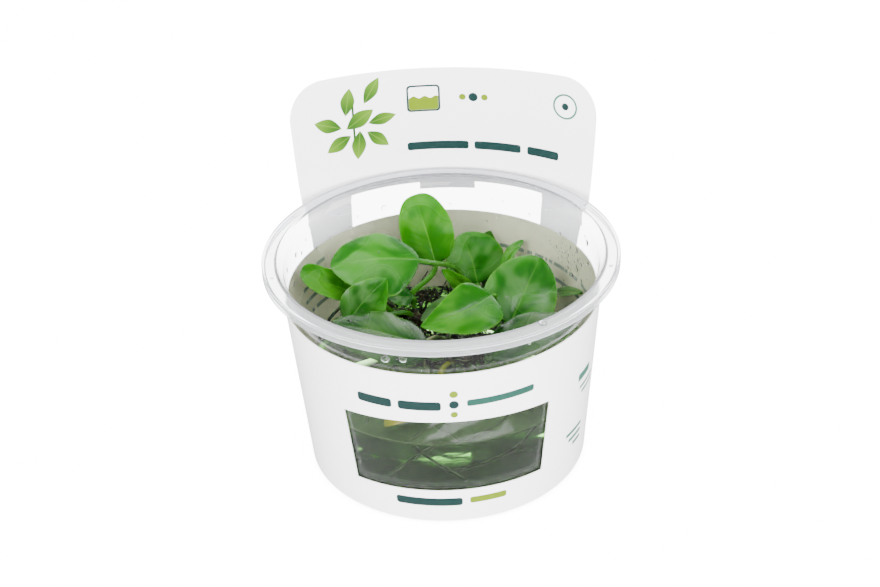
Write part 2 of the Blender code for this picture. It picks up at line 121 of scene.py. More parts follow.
# Each leaf in millimetres. Its foot is the end of its stalk at the creeping stem, rise the way the stalk
# leaves it, base and tip the ends of the blade, bow the midrib's sideways swell, face the way the upper
# side looks, sides the two half widths, and fold and curl how far the halves lift at their edges. A
# smaller widest puts the broadest place nearer the foot, and a smaller blunt makes the ends fuller.
LEAF_FACTS = (
    "green", "foot", "rise", "base", "tip", "bow", "face", "sides", "fold", "curl", "widest", "blunt",
)
LEAF_ROWS = (
    ("leaf_tall", "bright", (-11.5, 24, 31.4), (0.2, 0.1, 1), (-1.8, 31, 42),
     (-7.2, 36, 62.6), (0.6, -1, 0), (0.05, -1, 0.3), (7.8, 7.6), 0.12, -0.1, 0.98, 0.36),
    ("leaf_broad", "mid", (7.2, 29.6, 32.4), (-0.1, 0.4, 1), (-6.8, 20, 49.2),
     (-31.8, 12, 52.6), (0, 1.5, 3), (-0.05, -0.55, 0.84), (8.4, 12.4), 0.05, -0.12, 0.95, 0.6),
    ("leaf_strap", "bright", (-14, 20.2, 30.6), (-0.6, -0.4, 0.8), (-25, 13.6, 43.2),
     (-40.2, 8.5, 54.4), (-0.5, 0.4, -1.8), (0.2, -0.7, 0.75), (4, 4), 0.2, 0, 1.2, 0.28),
    ("leaf_mid_left", "mid", (-9.6, 18.2, 31.6), (-0.3, -0.6, 1), (-27.6, 5, 38.5),
     (-15.6, 4.8, 52.8), (-1, 0, 1), (-0.1, -0.9, 0.42), (7.2, 5.6), 0.05, -0.1, 0.72, 0.8),
    ("leaf_front_left", "deep", (2.4, 1.4, 31.4), (-0.4, -0.6, 1), (-5.4, -10.8, 39.2),
     (-31.2, -6.6, 45.2), (0, 1, 2), (0, -0.15, 1), (8.3, 8.5), 0.1, -0.1, 0.85, 0.65),
    ("leaf_narrow", "bright", (9.4, 27.4, 30.9), (0, -0.3, 1), (9, 25.4, 34.6),
     (0.2, 22.4, 44.6), (0.6, -0.4, -0.4), (-0.1, -0.95, 0.3), (2.2, 2.2), 0.3, 0, 0.9, 0.6),
    ("leaf_right_centre", "mid", (11, 31, 31.8), (0, 0.1, 1), (10.6, 32.4, 33.4),
     (6.4, 37, 48), (1.2, 0.5, 0), (0.1, -0.95, 0.35), (9.6, 8), 0.12, -0.1, 0.88, 0.55),
    ("leaf_behind", "deep", (13, 33.8, 30.6), (0.2, 0.4, 1), (12.8, 37.6, 36),
     (15.2, 38.8, 47.6), (-0.6, 0.4, 0), (-0.2, -0.9, 0.3), (3.8, 3.6), 0.15, 0, 0.9, 0.7),
    ("leaf_folded", "bright", (11.6, 8.4, 31.8), (0.3, 0.2, 1), (13.8, 5.6, 44.8),
     (-6.5, -8, 44.3), (1.5, -2.5, 0), (-0.2, -0.72, 0.66), (6.6, 8.4), 0.42, -0.1, 0.6, 0.8),
    ("leaf_right", "mid", (15.8, 10, 31.2), (0.8, 0.2, 0.5), (19.4, 10.2, 32),
     (29.1, 20.2, 48.5), (-0.5, -1.5, 0.5), (-0.05, -0.9, 0.45), (10, 11), 0.06, -0.08, 0.82, 0.5),
    ("leaf_front_right", "deep", (12.4, 2.2, 31), (0.2, -0.6, 1), (13, -9, 36.5),
     (37, 0.5, 40), (0, 1, 2.5), (0.05, -0.2, 1), (6, 6), 0.1, -0.1, 0.8, 0.7),
    ("leaf_far_right", "deep", (18.4, 11.4, 29.2), (0.6, 0.9, 0.1), (31.8, 22.4, 34.4),
     (40.2, 5.5, 44.6), (1.2, 2, 0), (-0.6, 0.1, 0.8), (1.9, 1.9), 0.1, 0, 0.8, 0.75),
    ("leaf_shaded", "deep", (7.6, 10.4, 31.2), (0, 0.5, 1), (7.5, 15.5, 37),
     (-6.6, 8, 36), (0, 0, 1.5), (0, -0.45, 0.9), (3.7, 3.7), 0.1, 0, 0.85, 0.7),
    ("leaf_small", "mid", (-8.6, 22.6, 31.6), (-0.3, 0, 1), (-9.2, 21.5, 35.6),
     (-16.5, 21, 36.3), (0, 0, 0.8), (0, -0.35, 0.95), (3.4, 3.4), 0.1, 0, 0.85, 0.7),
    ("leaf_curled", "bright", (14.8, 30, 30.4), (0.8, 0, 0.7), (18.4, 31, 38),
     (25, 34, 46.6), (-1.4, 0, 1.2), (-0.9, -0.45, 0.3), (2.2, 2.2), 0.2, 0, 1.0, 0.6),
    ("leaf_yellow", "yellow", (2, 4, 28.4), (-0.6, -0.8, 0.2), (-6, -22, 29.5),
     (-17, -33, 29), (0, 0, 1), (0, 0.1, 1), (4.5, 4.5), 0.08, 0, 0.85, 0.7),
    ("leaf_low_right", "mid", (15, 4.2, 28.6), (0.6, -0.8, 0.2), (18, -16, 31),
     (30, -26.5, 33.5), (0, 0, 2), (-0.1, -0.2, 1), (6, 6), 0.08, 0, 0.85, 0.7),
)
LEAVES = {name: dict(zip(LEAF_FACTS, facts)) for name, *facts in LEAF_ROWS}

# Skin colours of the leaves: lit parts, shaded parts, lower side, painted sheen in pale bands, and midrib and
# edge
LEAF_SKINS = {
    "bright": {
        "Bright": (0.014, 0.104, 0.0004), "Deep": (0.004, 0.056, 0.0003), "Under": (0.030, 0.085, 0.010),
        "Painted Sheen": (0.030, 0.120, 0.007), "Rib": (0.05, 0.18, 0.012), "Veins": 10},
    "mid": {
        "Bright": (0.015, 0.100, 0.003), "Deep": (0.0012, 0.040, 0.0004), "Under": (0.018, 0.060, 0.008),
        "Painted Sheen": (0.042, 0.122, 0.026), "Rib": (0.05, 0.16, 0.016), "Veins": 11},
    "deep": {
        "Bright": (0.008, 0.046, 0.0015), "Deep": (0.001, 0.020, 0.0005), "Under": (0.012, 0.040, 0.008),
        "Painted Sheen": (0.022, 0.054, 0.012), "Rib": (0.03, 0.08, 0.010), "Veins": 11},
    "yellow": {
        "Bright": (0.190, 0.185, 0.003), "Deep": (0.090, 0.120, 0.002), "Under": (0.06, 0.11, 0.01),
        "Painted Sheen": (0.22, 0.20, 0.02), "Rib": (0.18, 0.19, 0.01), "Veins": 9},
}

RHIZOMES = {
    "rhizome_left": dict(path=((-14, 25, 28.6), (-10, 22.4, 29), (-6, 18, 28.8)), radius=1.9),
    "rhizome_back": dict(path=((15, 32, 28.2), (10, 30, 29), (4, 29.4, 28.4)), radius=1.8),
    "rhizome_right": dict(path=((4, 3.6, 28.8), (10, 6, 29.2), (17, 8.4, 28.6)), radius=2.0),
}

ROOTS = {
    "root_wall": ((-15.5, 24.6, 31), (-22, 20, 38), (-27.6, 11.4, 41.6), (-34, 9, 36), (-35.6, 6, 28)),
    "root_pale": ((2.4, 5.2, 30.6), (-3, -1, 36), (-6, -6, 36), (-4.6, -11, 31), (-4, -14, 14)),
    "root_left_deep": ((-10, 22.6, 26.6), (-13, 16, 20), (-20, 2, 14), (-23, -14, 9)),
    "root_left_bent": ((-6.4, 18, 26.4), (-4, 8, 20), (-8, -10, 15), (4, -26, 9)),
    "root_back_deep": ((9, 30, 26.8), (10, 24, 18), (20, 10, 10), (24, -8, 7)),
    "root_back_side": ((5, 29.4, 26.2), (-2, 31, 18), (-16, 27, 10), (-26, 16, 6)),
    "root_right_deep": ((14, 7.6, 26.2), (20, 0, 20), (16, -18, 15), (2, -30, 14)),
    "root_right_side": ((8, 5.4, 26.6), (8, -6, 19), (-6, -24, 18), (-16, -30, 12)),
}

# Dark and pale patches of each root skin
ROOT_SKINS = {
    "root_pale_skin": ((0.04, 0.055, 0.018), (0.10, 0.14, 0.05)),
    # The brown skin of the dead bits is near black, so that they also stand in as painted shade between the
    # stems
    "root_brown_and_shade_skin": ((0.002, 0.003, 0.001), (0.009, 0.012, 0.004)),
    "root_dusky_skin": ((0.005, 0.010, 0.003), (0.014, 0.026, 0.009)),
}

# Fine roots and dead bits, in millimetres: shortest, longest, how far they start from a stem, and the
# largest radius. The dead bits lie about anywhere between the stems, within these ranges; they are
# near black and also stand in for the shade between the stems.
FINE_ROOT_SIZES = {"fine_roots": (5.0, 9.0, 3.0, 0.22), "dead_root_bits_and_shade": (3.0, 7.0, 0, 0.6)}
FINE_ROOT_STEPS = 4
THINNEST_ROOT = 0.12
BITS_PER_HAIR = 11
BITS_MIDDLE_AND_SPREAD = (-1, 7)
BITS_FRONT_AND_BACK = (2, 35)
BITS_LOW_AND_HIGH = (26.2, 32.5)
ROOT_ROOM = 37 * MM

# Bars printed on the card, in millimetres from the tag's middle line and up from the cup's foot:
# left end, right end, middle height, thickness
TAG_BARS = ((-11.6, 6.9, 71.6, 2.7), (8.6, 23.0, 71.6, 2.7), (25.0, 35.3, 71.6, 2.7))
SIGN = (-11.2, -1.2, 87.2, 8.6)
SIGN_PANE = (-10.6, -1.8, 87.2, 7.4)
SPRIG_STEM = (-27.9, -27.2, 80.5, 15.0)
FRONT_DARK_BARS = ((138.6, 150.4, 42.0, 3.0), (152.2, 162.4, 42.0, 3.0), (133.4, 153.6, 7.6, 2.8))
FRONT_TEAL_BARS = ((112.0, 131.6, 42.6, 2.2),)
FRONT_LIGHT_BARS = ((119.8, 131.2, 7.8, 2.2),)
SIDE_BARS = (
    (84.0, 92.0, 34.6, 2.6), (80.0, 90.6, 30.6, 1.0), (80.0, 89.0, 28.4, 1.0), (86.6, 96.4, 16.6, 1.2),
    (86.6, 94.8, 14.2, 1.2), (86.6, 92.0, 11.8, 1.2),
)
INNER_ROWS = (
    (16.5, 60.0, 42.3, 1.2), (38.0, 60.0, 37.4, 1.2), (-57.0, -42.0, 47.6, 1.2), (-57.0, -42.6, 43.4, 1.2),
    (-56.6, -43.2, 39.2, 1.2), (-56.0, -43.8, 35.0, 1.2),
)
INK_BLUR = 0.05
TEAL_INK = (0.010, 0.052, 0.038)
SIDE_INK = (0.022, 0.100, 0.070)
ROW_INK = (0.020, 0.095, 0.090)
CARD_LINING = (0.62, 0.64, 0.44)
CARD_LINING_EDGE = (52.4, 52.8)

# The printed sprig: middle, half length and half width of each oval leaf, and its turn in degrees;
# and its greens: stem, leaf's foot and tip, and rib
SPRIG = (
    (-29.0, 88.6, 4.4, 2.2, 78), (-21.6, 91.2, 4.6, 2.0, 58), (-35.6, 82.4, 4.6, 2.2, 158),
    (-25.6, 82.6, 5.0, 2.5, 30), (-18.8, 81.8, 4.4, 1.9, 12), (-32.6, 76.0, 4.4, 2.2, 205),
    (-26.4, 74.4, 4.6, 2.3, 262), (-20.4, 75.6, 4.2, 2.0, 320),
)
SPRIG_GREENS = ((0.012, 0.045, 0.006), (0.012, 0.060, 0.004), (0.070, 0.160, 0.008), (0.13, 0.22, 0.03))

# Larger water drops: angle from the back, height on the wall or radius on the flange, and half width; and
# on leaves: leaf, share along it, angle around it and half width
INNER_DROPS = (
    (-22.3, 56.2, 0.9), (-34.0, 55.8, 0.5), (-57.0, 52.9, 0.5), (-42.7, 58.9, 0.45), (4.5, 54.8, 0.6),
    (64.4, 43.2, 0.65), (67.9, 46.2, 0.6), (70.7, 49.0, 0.6), (72.1, 44.2, 0.65), (74.1, 57.6, 0.95),
    (-72.6, 57.0, 0.8), (-85.9, 58.0, 0.7), (-67.6, 55.5, 0.6), (-48.4, 53.2, 0.4), (-39.2, 50.9, 0.35),
    (58.2, 37.2, 0.45), (60.9, 46.2, 0.45), (77.0, 52.0, 0.6), (-80.0, 50.5, 0.6), (66.0, 51.5, 0.5),
)
OUTER_DROPS = (
    (-159.3, 56.4, 1.15), (-165.7, 57.0, 1.0), (109.0, 54.6, 0.8), (-120.0, 56.0, 0.6), (150.0, 57.5, 0.5),
)
FLANGE_DROPS = (
    (147.3, 47.6, 1.15), (105.0, 47.8, 0.6), (-104.0, 47.8, 0.5), (-62.0, 48.0, 0.5), (62.0, 47.9, 0.6),
)
LEAF_DROPS = (
    ("leaf_front_left", 0.82, 60, 0.8), ("leaf_front_left", 0.90, 110, 0.6),
    ("leaf_front_left", 0.25, 140, 0.9), ("leaf_front_left", 0.35, 100, 0.5),
    ("leaf_broad", 0.45, 70, 0.5), ("leaf_right", 0.35, 120, 0.5),
)

# Half widths of the fine drops in millimetres, and the half width below which a drop has fewer faces
FINE_DROP_SIZES = (0.18, 0.20, 0.22, 0.24, 0.26, 0.28, 0.45)
SMALL_DROP_BELOW = 0.3 * MM

# Every other fine drop is in a crowd, with the mean and spread of its angle and height; the rest are
# anywhere around, between the two heights
CROWD_ANGLE = (62, 6)
CROWD_HEIGHT = (48, 3)
FINE_DROP_HEIGHTS = (38, 59)

# Depth of a drop as a share of its half width
WALL_DROP_DEPTH = 0.5
LEAF_DROP_DEPTH = 0.45

# Lights: place, side, power in watts, whether they are mirrored, and whether clear pieces show them
LIGHT_TARGET = Vector((0, 0, 0.05))
LIGHTS = {
    "key_left": ((-0.80, -0.45, 0.60), 0.7, 20.0, False, True),
    "key_right": ((0.85, -0.30, 0.55), 0.7, 17.0, False, True),
    "key_top": ((-0.10, 0.05, 0.95), 0.6, 12.0, False, True),
    "key_back": ((0.10, 0.85, 0.60), 0.8, 20.0, False, False),
    "key_front": ((0.15, -1.10, 0.80), 0.7, 27.0, False, True),
    "key_low": ((0.03, -0.60, 0.15), 0.2, 10.0, False, False),
    "softbox_above": ((-0.12, -0.10, 0.70), 0.34, 1.1, True, True),
    "softbox_left": ((-0.62, -0.40, 0.40), 0.34, 0.8, True, True),
    "softbox_back": ((0.15, 0.60, 0.62), 0.5, 1.2, True, True),
    "softbox_front": ((0.25, -0.95, 0.35), 0.4, 0.45, True, True),
}
CUP_SHADE_EDGE = (0.036, 0.042)
CAMERA_RIGHT = Vector((0.999135, -0.020580, -0.036147))
CAMERA_UP = Vector((0.041570, 0.524657, 0.850298))
CAMERA_PLACE = (0, -0.41439, 0.30566)
CAMERA_LENS = 70.34
CAMERA_SENSOR = 36


def wall_radius(height):
    return BASE_RADIUS + height * WALL_TAPER


def in_metres(point):
    return Vector(point) * MM


def outward(degrees):
    """The level way out from the cup's middle line, at an angle from its back."""
    angle = math.radians(degrees)
    return Vector((math.sin(angle), math.cos(angle), 0))


def smooth_step(share):
    share = min(max(share, 0.0), 1.0)
    return share * share * (3 - 2 * share)


# Settings

def colour_setting(name, description, default):
    return bpy.props.FloatVectorProperty(
        name=name, description=description, subtype="COLOR", size=3, default=default, min=0, max=1)


def share_setting(name, description, default, most=1.0):
    return bpy.props.FloatProperty(
        name=name, description=description, subtype="FACTOR", default=default, min=0, max=most)


class CupSettings(bpy.types.PropertyGroup):
    sides: bpy.props.IntProperty(
        name="Sides", description="Steps around the cup", default=144, min=24, max=256)
    tint: colour_setting("Tint", "Colour of the clear plastic", (0.95, 0.965, 0.96))
    gel_tint: colour_setting("Gel tint", "Colour of the clear gel", (0.54, 0.80, 0.40))
    mist: share_setting("Mist", "Roughness of the misted wall below the gel's top", 0.02)


class CardSettings(bpy.types.PropertyGroup):
    thickness: bpy.props.FloatProperty(
        name="Thickness", description="Thickness of the card", unit="LENGTH", default=0.35 * MM,
        min=0.1 * MM, max=1 * MM)
    paper: colour_setting("Card", "Colour of the coated card", (0.86, 0.85, 0.88))
    dark_ink: colour_setting("Dark ink", "Colour of the dark print", (0.005, 0.019, 0.018))
    light_ink: colour_setting("Light ink", "Colour of the light print", (0.095, 0.150, 0.0))


class PlantSettings(bpy.types.PropertyGroup):
    seed: bpy.props.IntProperty(
        name="Seed", description="Number that fixes every random choice", default=7, min=0)
    wave: share_setting(
        "Edge wave", "Height of the waves on a leaf's edge, as a share of half its width", 0.05, 0.2)
    wax: share_setting("Wax", "Strength of the leaves' waxy coat", 0.08)
    hairs: bpy.props.IntProperty(
        name="Fine roots", description="Number of fine side roots", default=46, min=1, max=200)
    drops: bpy.props.IntProperty(
        name="Fine drops", description="Number of fine drops on the wall", default=150, min=0, max=600)


class StageSettings(bpy.types.PropertyGroup):
    floor_size: bpy.props.FloatProperty(
        name="Floor size", description="Side of the pale floor", unit="LENGTH", default=6.0, min=1, max=20)
    floor_colour: colour_setting("Floor", "Colour of the pale floor", (0.42, 0.42, 0.42))
    floor_glow: bpy.props.FloatProperty(
        name="Floor glow", description="How far the floor is lifted to plain white", default=14.0,
        min=0, max=30)
    sky: bpy.props.FloatProperty(
        name="Room light", description="Strength of the even light around", default=1.5, min=0, max=5)


# Shared modelling helpers

def deselect_all():
    bpy.ops.object.select_all(action="DESELECT")


def only(piece):
    """Makes a piece the one that is selected and active."""
    deselect_all()
    piece.select_set(True)
    bpy.context.view_layer.objects.active = piece


def rename(piece, name):
    piece.name = name
    piece.data.name = name
    return piece


def finish_piece(piece, material, angle=40):
    """Makes the faces point outwards, shades them smooth and gives the piece its material."""
    only(piece)
    bpy.ops.object.mode_set(mode="EDIT")
    bpy.ops.mesh.select_all(action="SELECT")
    bpy.ops.mesh.normals_make_consistent(inside=False)
    bpy.ops.mesh.select_all(action="DESELECT")
    bpy.ops.object.mode_set(mode="OBJECT")
    bpy.ops.object.shade_smooth_by_angle(angle=math.radians(angle))
    if material:
        piece.data.materials.clear()
        piece.data.materials.append(material)
    return piece


def stand_for(piece, nodes, slot):
    """Ties a piece to the body and hides the nodes that it stands for; the slot is not used."""
    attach(piece, "root")
    for node in nodes:
        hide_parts(node)


def spin_profile(name, profile, sides):
    """Draws a chain of (radius, height) points from one vertex and spins it about Z."""
    deselect_all()
    bpy.ops.mesh.primitive_plane_add(size=1, location=(0, 0, 0))
    piece = rename(bpy.context.object, name)
    bpy.ops.object.mode_set(mode="EDIT")
    bpy.ops.mesh.select_mode(type="VERT")
    bpy.ops.mesh.select_all(action="SELECT")
    bpy.ops.mesh.merge(type="CENTER")
    at = (0, 0)
    for step, (radius, height) in enumerate(profile):
        move = {"value": (radius - at[0], 0, height - at[1])}
        if step:
            bpy.ops.mesh.extrude_vertices_move(TRANSFORM_OT_translate=move)
        else:
            bpy.ops.transform.translate(value=move["value"])
        at = (radius, height)
    bpy.ops.mesh.select_all(action="SELECT")
    bpy.ops.mesh.spin(steps=sides, angle=math.tau, center=(0, 0, 0), axis=(0, 0, 1))
    bpy.ops.mesh.select_all(action="SELECT")
    bpy.ops.mesh.remove_doubles(threshold=WELD)
    bpy.ops.object.mode_set(mode="OBJECT")
    return piece


def corner_arc(centre_radius, centre_height, size, start, end, steps=5):
    angles = [math.radians(start + (end - start) * i / steps) for i in range(steps + 1)]
    return [(centre_radius + size * math.cos(a), centre_height + size * math.sin(a)) for a in angles]


def tube_blank(name, sides, rings):
    """A closed tube of unit rings one unit apart, extruded ring by ring from a filled circle."""
    deselect_all()
    bpy.ops.mesh.primitive_circle_add(vertices=sides, radius=1, fill_type="NGON", location=(0, 0, 0))
    piece = rename(bpy.context.object, name)
    bpy.ops.object.mode_set(mode="EDIT")
    bpy.ops.mesh.select_all(action="SELECT")
    for _ in range(rings - 1):
        bpy.ops.mesh.extrude_region_move(TRANSFORM_OT_translate={"value": (0, 0, 1)})
    bpy.ops.object.mode_set(mode="OBJECT")
    return piece


def copy_of(blank, name):
    only(blank)
    bpy.ops.object.duplicate(linked=False)
    return rename(bpy.context.object, name)


def remove_blank(blank):
    only(blank)
    bpy.ops.object.delete()


def join_all(pieces, name):
    deselect_all()
    for piece in pieces:
        piece.select_set(True)
    bpy.context.view_layer.objects.active = pieces[0]
    bpy.ops.object.join()
    piece = rename(bpy.context.object, name)
    bpy.ops.object.transform_apply(location=True, rotation=True, scale=True)
    return piece


def smooth_path(points, steps):
    """More points along a smooth curve that runs through the given ones."""
    ends = [points[0]] + list(points) + [points[-1]]
    path = []
    for a, b, c, d in zip(ends, ends[1:], ends[2:], ends[3:]):
        for i in range(steps):
            t = i / steps
            path.append(
                0.5 * (2 * b + (c - a) * t + (2 * a - 5 * b + 4 * c - d) * t ** 2
                       + (3 * b - a - 3 * c + d) * t ** 3))
    return path + [points[-1]]


def lay_tube(piece, path, radius_at):
    """Lays a tube blank along a path; radius_at gives the radius for a share and an angle."""
    frames = []
    side = None
    for i, point in enumerate(path):
        along = (path[min(i + 1, len(path) - 1)] - path[max(i - 1, 0)]).normalized()
        if side is None:
            side = along.orthogonal().normalized()
        side = (side - along * side.dot(along)).normalized()
        frames.append((point, side, along.cross(side)))
    for vertex in piece.data.vertices:
        ring = round(vertex.co.z)
        angle = math.atan2(vertex.co.y, vertex.co.x)
        point, right, up = frames[ring]
        radius = radius_at(ring / (len(path) - 1), angle)
        vertex.co = point + (right * math.cos(angle) + up * math.sin(angle)) * radius


# Shared node helpers

class Wire:
    """A node's output, on which plain arithmetic adds math nodes."""

    def __init__(self, socket):
        self.socket = socket

    def math(self, operation, other=0.0, clamp=False):
        w = Wiring(self.socket.id_data)
        return w.add("ShaderNodeMath", {0: self, 1: other}, operation=operation, use_clamp=clamp)[0]

    def __add__(self, other):
        return self.math("ADD", other)

    def __sub__(self, other):
        return self.math("SUBTRACT", other)

    def __mul__(self, other):
        return self.math("MULTIPLY", other)

    def __truediv__(self, other):
        return self.math("DIVIDE", other)

    def __pow__(self, other):
        return self.math("POWER", other)

    def __abs__(self):
        return self.math("ABSOLUTE")

    def span(self, low, high, to_low=0.0, to_high=1.0, kind="SMOOTHSTEP"):
        """The value carried over from one range to another."""
        inputs = dict(enumerate((self, low, high, to_low, to_high)))
        return Wiring(self.socket.id_data).add("ShaderNodeMapRange", inputs, interpolation_type=kind)[0]


class Outputs:
    """A node's outputs as wires, by number or name."""

    def __init__(self, node):
        self.node = node

    def __getitem__(self, key):
        return Wire(self.node.outputs[key])


class Wiring:
    """Adds nodes to a tree and joins them by their sockets."""

    def __init__(self, tree):
        self.tree = tree

    def put(self, socket, value):
        if isinstance(value, Wire):
            self.tree.links.new(value.socket, socket)
        elif socket.type == "RGBA" and len(value) == 3:
            socket.default_value = (*value, 1)
        else:
            socket.default_value = value

    def node(self, kind, inputs=None, **settings):
        node = self.tree.nodes.new(kind)
        for key, value in settings.items():
            setattr(node, key, value)
        for key, value in (inputs or {}).items():
            self.put(node.inputs[key], value)
        return node

    def add(self, kind, inputs=None, **settings):
        return Outputs(self.node(kind, inputs, **settings))

    def group(self, name, inputs):
        return self.add("ShaderNodeGroup", inputs, node_tree=shared_group(name))

    def place(self):
        return self.add("ShaderNodeTexCoord")["Object"]

    def blend(self, factor, a, b):
        return self.add("ShaderNodeMix", {0: factor, 6: a, 7: b}, data_type="RGBA", clamp_factor=True)[2]

    def noise(self, vector, scale, detail, **settings):
        inputs = {"Vector": vector, "Scale": scale, "Detail": detail}
        return self.add("ShaderNodeTexNoise", inputs, **settings)[0]

    def mottle(self, scale, detail, low=0.35, high=0.65):
        """A soft cloudy value from 0 to 1 on object coordinates."""
        return self.group("skin_mottle", {"Scale": scale, "Detail": detail, "Low": low, "High": high})[0]

    def bump(self, skin, height, strength, depth):
        """Shades a surface as if raised by a height times a depth in metres."""
        inputs = {"Height": height, "Strength": strength, "Distance": depth}
        self.put(skin["Normal"], self.add("ShaderNodeBump", inputs)[0])


# Shared node groups: each function wires a group from its inputs and gives its outputs in order

def wire_print_bar(w, given):
    """Mask of one bar with round corners on the card's own millimetres."""
    left, right, corner = given["Left"], given["Right"], given["Corner"]

    def into_corner(place, middle, half):
        return (abs(place - middle) - half + corner).math("MAXIMUM", 0)
    x = into_corner(given["Across"], (left + right) * 0.5, (right - left) * 0.5)
    y = into_corner(given["Up"], given["Middle"], given["Height"] * 0.5)
    past_corner = (x * x + y * y).math("SQRT") - corner
    return [past_corner.span(-INK_BLUR, INK_BLUR, 1, 0, "LINEAR")]


def wire_print_oval(w, given):
    """Mask of a turned pointed oval, its rib, and the place along it."""
    x = given["Across"] - given["Middle Across"]
    y = given["Up"] - given["Middle Up"]
    cos, sin = given["Turn"].math("COSINE"), given["Turn"].math("SINE")
    along = (x * cos + y * sin) / given["Half Length"]
    aside = y * cos - x * sin
    reach = abs(along) ** 1.7 + abs(aside / given["Half Width"])
    rib = abs(aside).span(0.08, 0.2, 1, 0, "LINEAR")
    return reach.span(0.95, 1.03, 1, 0, "LINEAR"), rib, along.span(-1, 1)


def wire_skin_mottle(w, given):
    return [w.noise(w.place(), given["Scale"], given["Detail"]).span(given["Low"], given["High"])]


def wire_leaf_pattern(w, given):
    """A leaf's colour, height and roughness from its own map: side veins, midrib, edge, soft bands of painted
    sheen and painted shade, painted light towards the tip and painted shade towards the stalk.
    """
    leaf_map = w.add("ShaderNodeSeparateXYZ", {0: w.add("ShaderNodeUVMap", uv_map="leaf")[0]})
    side, share = abs(leaf_map[0]), leaf_map[1]
    upper = w.add("ShaderNodeAttribute", attribute_name="upper_side")["Fac"]
    cloud = w.mottle(90, 0)
    fine = w.mottle(900, 1, 0.2, 0.8)
    phase = share * given["Veins"] - side ** 0.8 * 3.4
    wave = abs(((phase + w.mottle(70, 0) * 0.25) * math.pi).math("SINE"))
    on_blade = share.span(0.0, 0.03)
    vein = wave.span(0.0, 0.16, 1, 0) * on_blade * side.span(0.9, 1.0, 1, 0)
    rib = side.span(0.01, 0.05, 1, 0) * share.span(0.5, 1.0, 1, 0.15)
    vein_way = w.add("ShaderNodeCombineXYZ", {0: phase * 0.22, 1: leaf_map[0], 2: cloud * 0.4})[0]
    # Soft bands along the veins: painted sheen where they are pale and painted shade where they are dark
    sheen_and_shade_streaks = w.noise(vein_way, 1.3, 1)
    body = w.blend(cloud, given["Deep"], given["Bright"])
    # The lit green is laid towards the tip as painted light, and the shaded green towards the stalk as
    # painted shade
    for mask, skin in (
            (share.span(0.1, 1.0) * 0.45, "Bright"), (sheen_and_shade_streaks.span(0.46, 0.68) * 0.6, "Painted Sheen"),
            (sheen_and_shade_streaks.span(0.32, 0.54, 1, 0) * 0.75, "Deep"), (share.span(0.0, 0.5, 0.65, 0.0), "Deep"),
            (fine * 0.06, "Deep"), (vein * 0.07, "Deep")):
        body = w.blend(mask, body, given[skin])
    below = w.blend(vein * 0.5, given["Under"], given["Deep"])
    colour = w.blend(upper.span(0.3, 0.7), below, body)
    for line in (rib, side.span(0.93, 0.985)):
        colour = w.blend(line * 0.4, colour, given["Rib"])
    stalk = w.blend(0.7, given["Rib"], given["Deep"])
    colour = w.blend(share.span(-0.05, 0.02, 1, 0), colour, stalk)
    height = (wave * 0.22 - rib * 0.8 + fine * 0.02) * on_blade
    return colour, height, cloud * 0.05


# Each group's function, its outputs, and its inputs with their defaults, None for a colour
GROUPS = {
    "print_bar": (
        wire_print_bar, ("Mask",),
        {"Across": 0, "Up": 0, "Left": 0, "Right": 1, "Middle": 0, "Height": 1, "Corner": 0.4}),
    "print_oval": (
        wire_print_oval, ("Mask", "Rib", "Along"),
        {"Across": 0, "Up": 0, "Middle Across": 0, "Middle Up": 0, "Half Length": 4, "Half Width": 2,
         "Turn": 0}),
    "skin_mottle": (
        wire_skin_mottle, ("Value",),
        {"Scale": 200, "Detail": 3, "Low": 0.35, "High": 0.65}),
    "leaf_pattern": (
        wire_leaf_pattern, ("Colour", "Height", "Roughness"),
        {"Bright": None, "Deep": None, "Under": None, "Painted Sheen": None, "Rib": None, "Veins": 11}),
}


def shared_group(name):
    """The shader node group of that name, made on its first use."""
    if name in bpy.data.node_groups:
        return bpy.data.node_groups[name]
    wire, outputs, inputs = GROUPS[name]
    group = bpy.data.node_groups.new(name, "ShaderNodeTree")
    for label, default in inputs.items():
        kind = "NodeSocketColor" if default is None else "NodeSocketFloat"
        socket = group.interface.new_socket(label, in_out="INPUT", socket_type=kind)
        if default is not None:
            socket.default_value = default
    for label in outputs:
        kind = "NodeSocketColor" if label == "Colour" else "NodeSocketFloat"
        group.interface.new_socket(label, in_out="OUTPUT", socket_type=kind)
    w = Wiring(group)
    w.node("NodeGroupOutput", dict(zip(outputs, wire(w, w.add("NodeGroupInput")))))
    return group


# Materials

def seen_directly(w):
    """1 for what the eye sees, also through clear pieces; and 1 for what is mirrored."""
    rays = w.add("ShaderNodeLightPath")
    seen = rays["Is Camera Ray"].math("MAXIMUM", rays["Is Transmission Ray"])
    turns = rays["Diffuse Depth"] + rays["Glossy Depth"]
    return seen * turns.math("LESS_THAN", 0.5), rays["Is Glossy Ray"]


def white_room(settings):
    """Even room light, white where it is seen through clear pieces and dim where it is mirrored."""
    world = bpy.data.worlds.new("white_room")
    world.use_nodes = True
    w = Wiring(world.node_tree)
    seen, mirrored = seen_directly(w)
    room = world.node_tree.nodes["Background"].inputs
    w.put(room["Color"], (0.96, 0.98, 1.0))
    w.put(room["Strength"], seen * settings.floor_glow + settings.sky - mirrored * (settings.sky * 0.9))
    return world


def new_material(name, finish):
    """A material, its wiring and its surface's inputs, with the plain ones set."""
    material = bpy.data.materials.new(name)
    material.use_nodes = True
    material.node_tree.nodes.clear()
    w = Wiring(material.node_tree)
    shader = w.node("ShaderNodeBsdfPrincipled", finish)
    w.node("ShaderNodeOutputMaterial", {"Surface": Wire(shader.outputs[0])})
    return material, w, shader.inputs


